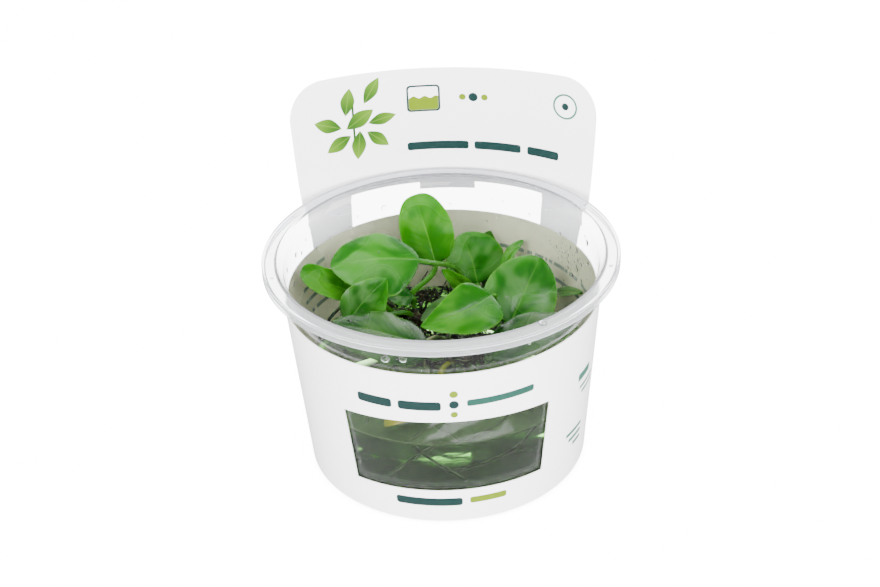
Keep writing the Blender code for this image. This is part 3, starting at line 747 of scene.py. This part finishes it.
def clear_plastic(settings):
    """Clear plastic with a faint flow in it, misted below the gel's top."""
    material, w, skin = new_material("clear_moulded_plastic", {
        "Base Color": tuple(settings.tint), "Transmission Weight": 1.0, "IOR": PLASTIC_IOR})
    place = w.place()
    height = w.add("ShaderNodeSeparateXYZ", {0: place})[2]
    misted = height.span(*MIST_EDGE, 1, 0) * (w.mottle(60, 5, 0.35, 0.6) * 0.6 + 0.4)
    w.put(skin["Roughness"], misted * settings.mist + 0.015)
    w.bump(skin, w.noise(place, 45, 2), 0.12, 0.0006)
    return material


def flange_plastic():
    """The same plastic where it is thicker and a little milky, at the flange."""
    material, w, skin = new_material("milky_flange_plastic", {
        "Base Color": (0.90, 0.91, 0.95), "Transmission Weight": 0.82, "IOR": PLASTIC_IOR})
    cloud = w.mottle(50, 3, 0.3, 0.7)
    w.put(skin["Roughness"], cloud * 0.05 + 0.08)
    w.bump(skin, cloud, 0.1, 0.0004)
    return material


def clear_gel(settings):
    """Wet gel, greener where it is deeper."""
    material, w, skin = new_material("clear_wet_gel", {
        "Base Color": tuple(settings.gel_tint), "Transmission Weight": 0.955, "IOR": 1.34, "Roughness": 0.03})
    depth = w.add("ShaderNodeVolumeAbsorption", {"Color": (0.48, 0.77, 0.36), "Density": 22.0})[0]
    output = next(node for node in material.node_tree.nodes if node.type == "OUTPUT_MATERIAL")
    w.put(output.inputs["Volume"], depth)
    w.bump(skin, w.noise(w.place(), 90, 1), 0.2, 0.0008)
    return material


def clear_water():
    return new_material("water_drop", {
        "Base Color": (0.99, 1.0, 1.0), "Transmission Weight": 1.0, "IOR": 1.333, "Roughness": 0.01})[0]


def leaf_skin(green, wax):
    """Satin leaf skin with a little light passing through it and a thin coat of wax."""
    material, w, skin = new_material("leaf_%s_skin" % green, {
        "IOR": 1.42, "Subsurface Weight": 0.3, "Subsurface Radius": (0.5, 1.0, 0.1),
        "Subsurface Scale": 0.0012, "Coat Weight": wax, "Coat Roughness": 0.08})
    pattern = w.group("leaf_pattern", LEAF_SKINS[green])
    w.put(skin["Base Color"], pattern["Colour"])
    w.put(skin["Roughness"], pattern["Roughness"] + 0.24)
    w.bump(skin, pattern["Height"], 0.5, 0.00022)
    return material


def stem_skin():
    material, w, skin = new_material("creeping_stem_skin", {"Roughness": 0.55})
    patch = w.mottle(400, 5, 0.35, 0.6)
    w.put(skin["Base Color"], w.blend(patch, (0.006, 0.004, 0.002), (0.024, 0.022, 0.007)))
    w.bump(skin, patch, 0.6, 0.0003)
    return material


def root_skin(name):
    material, w, skin = new_material(name, {
        "Roughness": 0.4, "Subsurface Weight": 0.25, "Subsurface Scale": 0.0008, "Coat Weight": 0.3})
    patch = w.mottle(260, 4)
    w.put(skin["Base Color"], w.blend(patch, *ROOT_SKINS[name]))
    w.bump(skin, patch, 0.3, 0.0002)
    return material


# Card print

class CardPrint:
    """Prints on the card's own map: millimetres across from the tag's middle and up from the cup's foot."""

    def __init__(self, w, paper):
        card_map = w.add("ShaderNodeSeparateXYZ", {0: w.add("ShaderNodeUVMap", uv_map="card")[0]})
        self.w = w
        self.across = card_map[0]
        self.up = card_map[1]
        self.colour = paper

    def ink(self, mask, colour):
        self.colour = self.w.blend(mask, self.colour, colour)

    def bars(self, bars, corner):
        """Mask of bars given by left end, right end, middle height and thickness."""
        total = None
        for left, right, middle, height in bars:
            bar = self.w.group("print_bar", {
                "Across": self.across, "Up": self.up, "Left": left, "Right": right, "Middle": middle,
                "Height": height, "Corner": corner})["Mask"]
            total = bar if total is None else total.math("MAXIMUM", bar)
        return total

    def discs(self, discs):
        """Prints discs given by their middle across and up, half width and ink."""
        for across, up, size, colour in discs:
            self.ink(self.bars(((across - size, across + size, up, 2 * size),), size), colour)


def outer_marks(card, settings):
    """Bars on the front and the side, and three dots between the two front bars."""
    dark, light = tuple(settings.dark_ink), tuple(settings.light_ink)
    card.ink(card.bars(FRONT_DARK_BARS, 0.9), dark)
    card.ink(card.bars(FRONT_TEAL_BARS, 0.7), TEAL_INK)
    card.ink(card.bars(FRONT_LIGHT_BARS, 0.7), light)
    card.ink(card.bars(SIDE_BARS, 0.4), SIDE_INK)
    card.discs(((135.1, 45.9, 1.15, light), (135.1, 42.4, 1.35, dark), (135.1, 39.0, 1.0, light)))


def inner_marks(card, settings):
    """The tag's face: a sprig, a framed sign, dots, a ring and bars; and fine lines lower down."""
    w, across, up = card.w, card.across, card.up
    dark, light = tuple(settings.dark_ink), tuple(settings.light_ink)
    card.ink(up.span(*CARD_LINING_EDGE, 1, 0), CARD_LINING)
    card.ink(card.bars(TAG_BARS, 0.8), dark)
    line_place = w.add("ShaderNodeCombineXYZ", {0: across, 1: (up * 0.4).math("ROUND") * 7.3})[0]
    dashes = w.noise(line_place, 0.36, 1, noise_dimensions="2D").span(0.38, 0.40, kind="LINEAR")
    card.ink(card.bars(INNER_ROWS, 0.3) * dashes * 0.65, ROW_INK)
    sign, pane = card.bars((SIGN,), 1.2), card.bars((SIGN_PANE,), 0.8)
    card.ink(sign.math("SUBTRACT", pane, clamp=True), dark)
    surface = (across * 1.9).math("SINE") * 0.35 + 87.6
    card.ink(pane * up.math("LESS_THAN", surface), light)
    card.discs(((5.4, 87.4, 1.0, light), (8.6, 87.4, 1.4, dark), (12.0, 87.4, 1.0, light)))
    card.discs(((37, 87.6, 3.9, SIDE_INK), (37, 87.6, 3.3, tuple(settings.paper)), (37, 87.6, 1.1, dark)))
    card.ink(card.bars((SPRIG_STEM,), 0.3), SPRIG_GREENS[0])
    for middle, high, length, width, turn in SPRIG:
        oval = w.group("print_oval", {
            "Across": across, "Up": up, "Middle Across": middle, "Middle Up": high, "Half Length": length,
            "Half Width": width, "Turn": math.radians(turn)})
        green = w.blend(oval["Along"], *SPRIG_GREENS[1:3])
        card.ink(oval["Mask"], w.blend(oval["Rib"] * 0.5, green, SPRIG_GREENS[3]))


def card_surface(name, settings, marks):
    """Satin coated card with a faint mottle; marks adds the print."""
    material, w, skin = new_material(name, {"IOR": 1.45})
    fibres = w.mottle(700, 4, 0.3, 0.7)
    paper = tuple(settings.paper)
    card = CardPrint(w, w.blend(fibres * 0.25, paper, tuple(c * 0.95 for c in paper)))
    if marks:
        marks(card, settings)
    w.put(skin["Base Color"], card.colour)
    w.put(skin["Roughness"], fibres * 0.06 + 0.36)
    w.bump(skin, fibres, 0.06, 0.0001)
    return material


# Card shape

def band_point(degrees, height):
    """A point of the sleeve's inner face on the tapered band."""
    return outward(degrees + TAG_TURN) * (wall_radius(height) + GAP) + Vector((0, 0, height))


def tag_point(degrees, height):
    """A point of the tag's inner face, whose bend opens out towards its free top."""
    width = math.radians(degrees) * (wall_radius(BAND_TOP) + GAP)
    bend = TAG_BEND + (height - TAG_FOOT) * TAG_FLATTENING
    turn = math.radians(TAG_TURN)
    centre = TAG_NEAR - bend
    angle = turn + width / bend
    return Vector((
        centre * math.sin(turn) + bend * math.sin(angle),
        centre * math.cos(turn) + bend * math.cos(angle),
        height,
    ))


def leg_point(degrees, height):
    """A point between the band's top and the tag's foot, where the legs swing out round the flange."""
    share = smooth_step((height - BAND_TOP) / (TAG_FOOT - BAND_TOP))
    return band_point(degrees, height).lerp(tag_point(degrees, height), share)


def arc_length(degrees):
    return math.radians(abs(degrees)) * (wall_radius(BAND_TOP) + GAP)


def window_edges(degrees):
    """Lower and upper edge of the window at an angle from the tag's middle."""
    away = min(abs(degrees - WINDOW_CENTRE), WINDOW_HALF)
    share = away / WINDOW_HALF
    low = WINDOW_FOOT - WINDOW_FOOT_DROP * share ** 2
    high = WINDOW_TOP - WINDOW_TOP_DROP * share ** 2
    leaning_side = max(away - WINDOW_HALF + WINDOW_LEAN, 0.0) / WINDOW_LEAN
    return low + (high - low) * leaning_side, high


def tag_edge(degrees):
    """Height of the tag's top edge at an angle from its middle, rounded at the corners."""
    to_side = arc_length(LEG_OUTER) - arc_length(degrees)
    into_corner = max(TAG_CORNER - to_side, 0.0)
    return TAG_TOP - TAG_CORNER + math.sqrt(max(TAG_CORNER ** 2 - into_corner ** 2, 0.0))


def sleeve_columns():
    """Angles from the tag's middle, once around, with a column at each cut and more at the corners."""
    end = WINDOW_CENTRE + WINDOW_HALF + SEAM_AWAY
    start = end - 360
    count = round((end - start) / COLUMN_STEP)
    angles = [start + (end - start) * i / count for i in range(count + 1)]
    cuts = [-LEG_OUTER, -LEG_INNER, -TAB_HALF, TAB_HALF, LEG_INNER, LEG_OUTER]
    for side in (-1, 1):
        cuts += [side * (LEG_OUTER - step) for step in TAG_CORNER_COLUMNS]
        cuts += [WINDOW_CENTRE + side * (WINDOW_HALF - step) for step in (0, WINDOW_LEAN / 2, WINDOW_LEAN)]
    keep = [a for a in angles if min(abs(a - c) for c in cuts) > COLUMN_STEP * 0.3 or a in (start, end)]
    return sorted(keep + cuts)


def fill_strip(bm, card_map, place, sides, rows=1):
    """Quads between two columns, each given as its angle, foot and top, with the card's own map."""
    left, right = (
        [(angle, low + (high - low) * i / rows) for i in range(rows + 1)] for angle, low, high in sides)
    for i in range(rows):
        corners = (left[i + 1], right[i + 1], right[i], left[i])
        face = bm.faces.new([bm.verts.new(place(*corner)) for corner in corners])
        for loop, (angle, height) in zip(face.loops, corners):
            across = math.copysign(arc_length(angle), angle)
            loop[card_map].uv = (across / MM, height / MM)


def build_card_sheet():
    """The die-cut card as columns of quads, welded into one sheet."""
    bm = bmesh.new()
    card_map = bm.loops.layers.uv.new("card")
    columns = sleeve_columns()
    for a, b in zip(columns[:-1], columns[1:]):
        middle = (a + b) / 2
        (low_a, high_a), (low_b, high_b) = window_edges(a), window_edges(b)
        fill_strip(bm, card_map, band_point, ((a, BAND_FOOT, low_a), (b, BAND_FOOT, low_b)), 2)
        fill_strip(bm, card_map, band_point, ((a, high_a, BAND_TOP), (b, high_b, BAND_TOP)), 3)
        if abs(middle) > LEG_OUTER:
            continue
        fill_strip(bm, card_map, tag_point, ((a, TAG_FOOT, tag_edge(a)), (b, TAG_FOOT, tag_edge(b))), 10)
        if abs(middle) > LEG_INNER:
            fill_strip(bm, card_map, leg_point, ((a, BAND_TOP, TAG_FOOT), (b, BAND_TOP, TAG_FOOT)), 10)
        if abs(middle) < TAB_HALF:
            fill_strip(bm, card_map, tag_point, ((a, TAB_FOOT, TAG_FOOT), (b, TAB_FOOT, TAG_FOOT)), 2)
    bmesh.ops.remove_doubles(bm, verts=bm.verts, dist=WELD)
    mesh = bpy.data.meshes.new("card_sleeve")
    bm.to_mesh(mesh)
    bm.free()
    sleeve = bpy.data.objects.new("card_sleeve", mesh)
    bpy.context.collection.objects.link(sleeve)
    return sleeve


# Leaf shape

def quadratic(a, b, c, t):
    return a * (1 - t) ** 2 + b * (2 * t * (1 - t)) + c * t ** 2


def cubic(a, b, c, d, t):
    s = 1 - t
    return a * s ** 3 + b * (3 * s * s * t) + c * (3 * s * t * t) + d * t ** 3


def leaf_line(facts):
    """Points from the stalk's foot to the blade's tip, and each point's share along the blade."""
    foot, base, tip = (in_metres(facts[key]) for key in ("foot", "base", "tip"))
    middle = (base + tip) / 2 + in_metres(facts["bow"])
    reach = (base - foot).length
    leave = foot + Vector(facts["rise"]).normalized() * reach * 0.4
    arrive = base - (middle - base).normalized() * reach * 0.35
    stalk = [cubic(foot, leave, arrive, base, i / STALK_RINGS) for i in range(STALK_RINGS)]
    shares = [0.5 - 0.5 * math.cos(math.pi * i / (BLADE_RINGS - 1)) for i in range(BLADE_RINGS)]
    blade = [quadratic(base, middle, tip, t) for t in shares]
    return stalk + blade, [(i - STALK_RINGS) / STALK_RINGS for i in range(STALK_RINGS)] + shares


def leaf_place(facts, point, along, share, angle, wave, phase):
    """One point of the skin: round on the stalk, a thin folded lens with a midrib on the blade."""
    across = along.cross(Vector(facts["face"])).normalized()
    upward = across.cross(along)
    blade = max(share, 0.0)
    outline = math.sin(math.pi * blade ** facts["widest"]) ** facts["blunt"] if 0 < share < 1 else 0.0
    turn, rise = math.cos(angle), math.sin(angle)
    spread = turn * (0.45 + 0.55 * abs(turn)) * min(outline * 4, 1) + turn * (1 - min(outline * 4, 1))
    half = facts["sides"][0 if spread > 0 else 1] * MM * outline
    neck = STALK_RADIUS if share <= 0 else max(STALK_RADIUS * (1 - share) ** 2, BLADE_EDGE)
    thick = BLADE_THICK + (STALK_RADIUS - BLADE_THICK) * (1 - smooth_step(blade / 0.3))
    thick *= 1 - 0.5 * blade ** 4
    lift = half * (facts["fold"] * abs(spread) + facts["curl"] * spread ** 2)
    lift += half * wave * math.sin(math.tau * (2.3 * blade + phase)) * abs(spread) ** 2.5
    lift += half * wave * 0.35 * math.sin(math.tau * (5.1 * blade + phase * 3)) * spread ** 4
    away = spread * half / MM
    rib = math.exp(-(away / 0.45) ** 2) * smooth_step(blade / 0.2) * (1 - blade)
    groove = -0.16 * MM * rib if rise > 0 else -0.30 * MM * rib
    return point + across * spread * (half + neck) + upward * (rise * thick + lift + groove), spread


def lay_leaf(piece, facts, wave, chance):
    """Lays a tube blank along the leaf and gives it its own map and the mark of its upper side."""
    line, shares = leaf_line(facts)
    phase = chance.random()
    ways = []
    for i in range(len(line)):
        before, after = line[max(i - 1, 0)], line[min(i + 1, len(line) - 1)]
        ways.append((after - before).normalized())
    mesh = piece.data
    marks = []
    for vertex in mesh.vertices:
        ring = round(vertex.co.z)
        angle = math.atan2(vertex.co.y, vertex.co.x)
        vertex.co, spread = leaf_place(facts, line[ring], ways[ring], shares[ring], angle, wave, phase)
        marks.append((spread, shares[ring], 0.5 + 0.5 * math.sin(angle)))
    leaf_map = mesh.uv_layers.new(name="leaf")
    for loop in mesh.loops:
        leaf_map.data[loop.index].uv = marks[loop.vertex_index][:2]
    upper = mesh.attributes.new("upper_side", "FLOAT", "POINT")
    upper.data.foreach_set("value", [mark[2] for mark in marks])


# Operators

class WATERPLANT_OT_cup(bpy.types.Operator):
    """Spin the clear cup with its stepped flange and skirt"""
    bl_idname = "waterplant.cup"
    bl_label = "Clear Cup"

    def execute(self, context):
        settings = context.scene.water_plant_cup
        inner_corner = BASE_CORNER - WALL * 0.5
        plate_foot = FLANGE_TOP - FLANGE_PLATE
        profile = [(wall_radius(WALL_TOP) - WALL, WALL_TOP)]
        profile += [(wall_radius(WALL_TOP) - WALL + EDGE_ROUND, LIP_FOOT)]
        profile += corner_arc(LIP_RADIUS, FLANGE_TOP - LIP_ROUND, LIP_ROUND, 180, 90)
        profile += corner_arc(FLANGE_RADIUS - EDGE_ROUND, FLANGE_TOP - EDGE_ROUND, EDGE_ROUND, 90, 0)
        profile += [(FLANGE_RADIUS, SKIRT_FOOT), (FLANGE_RADIUS - WALL, SKIRT_FOOT)]
        profile += corner_arc(FLANGE_RADIUS - WALL - EDGE_ROUND, plate_foot - EDGE_ROUND, EDGE_ROUND, 0, 90)
        profile += [(LIP_RADIUS + LIP_ROUND, plate_foot)]
        profile += [(wall_radius(LIP_FOOT) + LIP_ROUND, LIP_FOOT), (wall_radius(WALL_TOP), WALL_TOP)]
        profile += corner_arc(wall_radius(BASE_CORNER) - BASE_CORNER, BASE_CORNER, BASE_CORNER, 0, -90)
        profile += [(0, 0), (0, FLOOR)]
        inside = wall_radius(FLOOR + inner_corner) - WALL - inner_corner
        profile += corner_arc(inside, FLOOR + inner_corner, inner_corner, -90, 0)
        profile += [profile[0]]
        cup = spin_profile("clear_cup", profile, settings.sides)
        finish_piece(cup, clear_plastic(settings), 50)
        cup.data.materials.append(flange_plastic())
        for face in cup.data.polygons:
            if Vector(face.center[:2]).length > MILKY_FROM:
                face.material_index = 1
        stand_for(cup, ("cup",), "clear_plastic")
        return {"FINISHED"}


class WATERPLANT_OT_gel(bpy.types.Operator):
    """Spin the block of clear gel with its raised edge"""
    bl_idname = "waterplant.gel"
    bl_label = "Clear Gel"

    def execute(self, context):
        settings = context.scene.water_plant_cup

        def inside(height):
            return wall_radius(height) - WALL - GEL_CLEARANCE
        foot = FLOOR + GEL_CLEARANCE
        profile = [(0, GEL_TOP), (inside(GEL_TOP) - MENISCUS_RUN, GEL_TOP)]
        for step in range(1, MENISCUS_STEPS + 1):
            share = step / MENISCUS_STEPS
            profile.append((
                inside(GEL_TOP) - MENISCUS_RUN * (1 - share), GEL_TOP + MENISCUS_RISE * share ** 2.5))
        profile += [(inside(foot + BASE_CORNER), foot + BASE_CORNER)]
        profile += [(inside(foot) - BASE_CORNER, foot), (0, foot)]
        gel = spin_profile("clear_gel_block", profile, GEL_SIDES)
        finish_piece(gel, clear_gel(settings), 50)
        stand_for(gel, ("nutrient_gel",), "clear_gel")
        return {"FINISHED"}


class WATERPLANT_OT_sleeve(bpy.types.Operator):
    """Build the die-cut card with its window, legs, tab and tag"""
    bl_idname = "waterplant.sleeve"
    bl_label = "Card Sleeve"

    def execute(self, context):
        settings = context.scene.water_plant_card
        sleeve = build_card_sheet()
        only(sleeve)
        bpy.ops.object.modifier_add(type="SOLIDIFY")
        wall = sleeve.modifiers[-1]
        wall.thickness = settings.thickness
        wall.offset = 1.0
        wall.use_even_offset = True
        bpy.ops.object.modifier_apply(modifier=wall.name)
        finish_piece(sleeve, None, 35)
        mesh = sleeve.data
        for name, marks in (("card_outside", outer_marks), ("card_inside", inner_marks), ("card_edge", None)):
            mesh.materials.append(card_surface(name, settings, marks))
        for face in mesh.polygons:
            outward = face.normal.dot(Vector((face.center.x, face.center.y, 0)).normalized())
            face.material_index = 0 if outward > 0.5 else 1 if outward < -0.5 else 2
        stand_for(sleeve, ("label_sleeve",), "printed_card")
        return {"FINISHED"}


class WATERPLANT_OT_stems(bpy.types.Operator):
    """Lay the three knotty creeping stems"""
    bl_idname = "waterplant.stems"
    bl_label = "Creeping Stems"

    def execute(self, context):
        chance = random.Random(context.scene.water_plant_plant.seed)
        skin = stem_skin()
        blank = tube_blank("stem_blank", 24, 49)
        for node, facts in RHIZOMES.items():
            path = smooth_path([in_metres(p) for p in facts["path"]], 24)
            shift = chance.random() * 6

            def radius_at(share, angle, size=facts["radius"] * MM, shift=shift):
                knots = 0.07 * math.sin(share * 30 + shift) + 0.05 * math.sin(3 * angle + share * 9 + shift)
                ends = min(1, 0.35 + 4 * min(share, 1 - share))
                return size * (0.95 + knots) * ends
            stem = copy_of(blank, node + "_knotty")
            lay_tube(stem, path, radius_at)
            finish_piece(stem, skin, 60)
            stand_for(stem, (node,), "rhizome_skin")
        remove_blank(blank)
        return {"FINISHED"}


class WATERPLANT_OT_roots(bpy.types.Operator):
    """Lay the thicker roots, and the fine side roots and dark brown dead bits about the stems, which also
    stand in for the shade between them
    """
    bl_idname = "waterplant.roots"
    bl_label = "Roots"

    def execute(self, context):
        settings = context.scene.water_plant_plant
        chance = random.Random(settings.seed + 1)
        pale, brown, dusky = (root_skin(name) for name in ROOT_SKINS)
        blanks = {}
        for node, points in ROOTS.items():
            path = smooth_path([in_metres(p) for p in points], 12)
            if len(path) not in blanks:
                blanks[len(path)] = tube_blank("root_blank_%d" % len(path), 12, len(path))
            shift = chance.random() * 6

            def radius_at(share, angle, shift=shift):
                return ROOT_RADIUS * (1 - 0.25 * share) * (1 + 0.06 * math.sin(share * 40 + shift))
            root = copy_of(blanks[len(path)], node + "_round")
            lay_tube(root, path, radius_at)
            finish_piece(root, pale if node == "root_pale" else dusky, 60)
            stand_for(root, (node,), "root_skin")
        self.fine_roots(settings, chance, brown, pale)
        for blank in blanks.values():
            remove_blank(blank)
        return {"FINISHED"}

    def fine_roots(self, settings, chance, brown, pale):
        """Thin side roots that leave the stems, and short dark dead bits that lie about them and also stand
        in for the shade between the stems.
        """
        blank = tube_blank("fine_root_blank", 5, 2 * FINE_ROOT_STEPS + 1)
        counts = (settings.hairs, settings.hairs * BITS_PER_HAIR)
        for (name, sizes), skin, count in zip(FINE_ROOT_SIZES.items(), (pale, brown), counts):
            pieces = []
            for index in range(count):
                path = self.fine_path(chance, *sizes[:3])
                piece = copy_of(blank, "%s_%d" % (name, index))
                size = chance.uniform(THINNEST_ROOT, sizes[3]) * MM
                lay_tube(piece, smooth_path(path, 2), lambda share, _, size=size: size * (1 - 0.6 * share))
                pieces.append(piece)
            joined = join_all(pieces, name)
            finish_piece(joined, skin, 60)
            stand_for(joined, (), "root_skin")
        remove_blank(blank)

    def fine_path(self, chance, low, high, reach):
        """A wandering path that starts near a stem or, with no reach, anywhere between the stems."""
        facts = chance.choice(list(RHIZOMES.values()))
        start = in_metres(chance.choice(facts["path"]))
        start += in_metres(
            (chance.gauss(0, reach / 2), chance.gauss(0, reach / 2), chance.uniform(-1.5, 1.5)))
        if not reach:
            across = chance.gauss(*BITS_MIDDLE_AND_SPREAD)
            start = in_metres(
                (across, chance.uniform(*BITS_FRONT_AND_BACK), chance.uniform(*BITS_LOW_AND_HIGH)))
        way = Vector((chance.gauss(0, 1), chance.gauss(0, 1), chance.gauss(-0.35, 0.35))).normalized()
        path = [start]
        for _ in range(FINE_ROOT_STEPS):
            way = (way + Vector([chance.gauss(0, 0.35) for _ in range(3)])).normalized()
            path.append(path[-1] + way * chance.uniform(low, high) / FINE_ROOT_STEPS * MM)
        for point in path:
            away = Vector(point[:2]).length / ROOT_ROOM
            if away > 1:
                point.xy = (point.x / away, point.y / away)
        return path


class WATERPLANT_OT_leaves(bpy.types.Operator):
    """Shape every leaf with its stalk, midrib and wavy edge"""
    bl_idname = "waterplant.leaves"
    bl_label = "Leaves"

    def execute(self, context):
        settings = context.scene.water_plant_plant
        chance = random.Random(settings.seed + 2)
        skins = {green: leaf_skin(green, settings.wax) for green in LEAF_SKINS}
        blank = tube_blank("leaf_blank", LEAF_SIDES, STALK_RINGS + BLADE_RINGS)
        for node, facts in LEAVES.items():
            leaf = copy_of(blank, node + "_blade")
            lay_leaf(leaf, facts, settings.wave, chance)
            finish_piece(leaf, skins[facts["green"]], 80)
            stand_for(leaf, (node,), "leaf_" + facts["green"])
        remove_blank(blank)
        return {"FINISHED"}


class WATERPLANT_OT_drops(bpy.types.Operator):
    """Scatter water drops over the wall's inside and the flange"""
    bl_idname = "waterplant.drops"
    bl_label = "Water Drops"

    def execute(self, context):
        settings = context.scene.water_plant_plant
        chance = random.Random(settings.seed + 3)
        deselect_all()
        bpy.ops.mesh.primitive_ico_sphere_add(subdivisions=3, radius=1, location=(0, 0, 0))
        blank = rename(bpy.context.object, "drop_blank")
        bpy.ops.mesh.primitive_uv_sphere_add(segments=8, ring_count=5, radius=1, location=(0, 0, 0))
        small_blank = rename(bpy.context.object, "small_drop_blank")
        pieces = []

        def add_drop(place, facing, width, depth, length=1.0):
            drop = copy_of(small_blank if width < SMALL_DROP_BELOW else blank, "drop_%d" % len(pieces))
            turn = Vector(facing).to_track_quat("Y", "Z").to_matrix().to_4x4()
            swell = Matrix.Diagonal((width, depth, width * length, 1))
            drop.matrix_world = Matrix.Translation(place) @ turn @ swell
            pieces.append(drop)

        def on_wall(degrees, height, width, inside, length=1.0):
            out = outward(degrees)
            radius = wall_radius(height) - (WALL if inside else 0)
            facing = -out if inside else out
            place = out * radius + Vector((0, 0, height))
            add_drop(place, facing, width, width * WALL_DROP_DEPTH, length)

        for degrees, height, width in INNER_DROPS:
            on_wall(degrees, height * MM, width * MM, True)
        for degrees, height, width in OUTER_DROPS:
            on_wall(degrees, height * MM, width * MM, False)
        for degrees, radius, width in FLANGE_DROPS:
            place = outward(degrees) * radius * MM + Vector((0, 0, FLANGE_TOP))
            add_drop(place, (0, 0, 1), width * MM, width * WALL_DROP_DEPTH * MM)
        for node, share, degrees, width in LEAF_DROPS:
            facts = LEAVES[node]
            line, shares = leaf_line(facts)
            ring = min(range(STALK_RINGS, len(line) - 1), key=lambda i: abs(shares[i] - share))
            along = (line[ring + 1] - line[ring - 1]).normalized()
            place, _ = leaf_place(facts, line[ring], along, shares[ring], math.radians(degrees), 0, 0)
            add_drop(place, facts["face"], width * MM, width * LEAF_DROP_DEPTH * MM)
        for index in range(settings.drops):
            size = chance.choice(FINE_DROP_SIZES) * chance.uniform(0.8, 1.2) * MM
            crowded = index % 2
            degrees = chance.gauss(*CROWD_ANGLE) if crowded else chance.uniform(0, 360)
            height = chance.gauss(*CROWD_HEIGHT) if crowded else chance.uniform(*FINE_DROP_HEIGHTS)
            on_wall(degrees, height * MM, size, True, chance.uniform(1, 1.3))
        joined = join_all(pieces, "wall_drops")
        finish_piece(joined, clear_water(), 180)
        stand_for(joined, (), "clear_gel")
        remove_blank(blank)
        remove_blank(small_blank)
        return {"FINISHED"}


class WATERPLANT_OT_stage(bpy.types.Operator):
    """Set up the pale floor, the room light, the softboxes and the camera"""
    bl_idname = "waterplant.stage"
    bl_label = "Studio"

    def execute(self, context):
        settings = context.scene.water_plant_stage
        deselect_all()
        bpy.ops.mesh.primitive_plane_add(size=settings.floor_size, location=(0, 0, 0))
        floor = rename(bpy.context.object, "studio_floor")
        floor.data.materials.append(self.pale_floor(settings))
        context.scene.world = white_room(settings)
        for name, (place, size, power, mirrored, through) in LIGHTS.items():
            bpy.ops.object.light_add(type="AREA", location=place)
            light = rename(context.object, name)
            light.data.size = size
            light.data.energy = power
            light.visible_glossy = mirrored
            light.visible_transmission = through
            aim = LIGHT_TARGET - Vector(place)
            light.rotation_euler = aim.to_track_quat("-Z", "Y").to_euler()
        bpy.ops.object.camera_add()
        camera = rename(context.object, "photo_camera")
        turn = Matrix((CAMERA_RIGHT, CAMERA_UP, CAMERA_RIGHT.cross(CAMERA_UP))).transposed().to_4x4()
        camera.matrix_world = Matrix.Translation(CAMERA_PLACE) @ turn
        camera.data.sensor_width = CAMERA_SENSOR
        camera.data.lens = CAMERA_LENS
        camera.data.clip_start = 0.01
        context.scene.camera = camera
        return {"FINISHED"}

    def pale_floor(self, settings):
        """White where it is seen, dark where it is mirrored, and not glowing under the cup."""
        material, w, skin = new_material("pale_floor", {"Roughness": 0.6, "Emission Color": (1, 1, 1)})
        seen, mirrored = seen_directly(w)
        w.put(skin["Base Color"], w.blend(mirrored * 0.85, tuple(settings.floor_colour), (0, 0, 0)))
        away = w.add("ShaderNodeVectorMath", {0: w.place()}, operation="LENGTH")["Value"]
        glow = seen * away.span(*CUP_SHADE_EDGE) * settings.floor_glow
        w.put(skin["Emission Strength"], glow + mirrored * 0.1)
        return material


class WATERPLANT_PT_panel(bpy.types.Panel):
    """Lists the pieces of the plant, its cup and its studio"""
    bl_idname = "WATERPLANT_PT_panel"
    bl_label = "Water Plant"
    bl_space_type = "VIEW_3D"
    bl_region_type = "UI"
    bl_category = "Water Plant"

    def draw(self, context):
        layout = self.layout
        for place, group in SETTINGS.items():
            box = layout.box()
            for key in group.__annotations__:
                box.prop(getattr(context.scene, place), key)
        for operator in OPERATORS:
            layout.operator(operator.bl_idname)


SETTINGS = {
    "water_plant_cup": CupSettings, "water_plant_card": CardSettings,
    "water_plant_plant": PlantSettings, "water_plant_stage": StageSettings,
}
OPERATORS = (
    WATERPLANT_OT_cup, WATERPLANT_OT_gel, WATERPLANT_OT_sleeve, WATERPLANT_OT_stems, WATERPLANT_OT_roots,
    WATERPLANT_OT_leaves, WATERPLANT_OT_drops, WATERPLANT_OT_stage,
)
CLASSES = (*SETTINGS.values(), *OPERATORS, WATERPLANT_PT_panel)


def register():
    for each in CLASSES:
        bpy.utils.register_class(each)
    for place, group in SETTINGS.items():
        setattr(bpy.types.Scene, place, bpy.props.PointerProperty(type=group))


def unregister():
    for place in SETTINGS:
        delattr(bpy.types.Scene, place)
    for each in reversed(CLASSES):
        bpy.utils.unregister_class(each)


def main():
    register()
    bpy.ops.waterplant.cup()
    bpy.ops.waterplant.gel()
    bpy.ops.waterplant.sleeve()
    bpy.ops.waterplant.stems()
    bpy.ops.waterplant.roots()
    bpy.ops.waterplant.leaves()
    bpy.ops.waterplant.drops()
    bpy.ops.waterplant.stage()


if __name__ == "__main__":
    main()
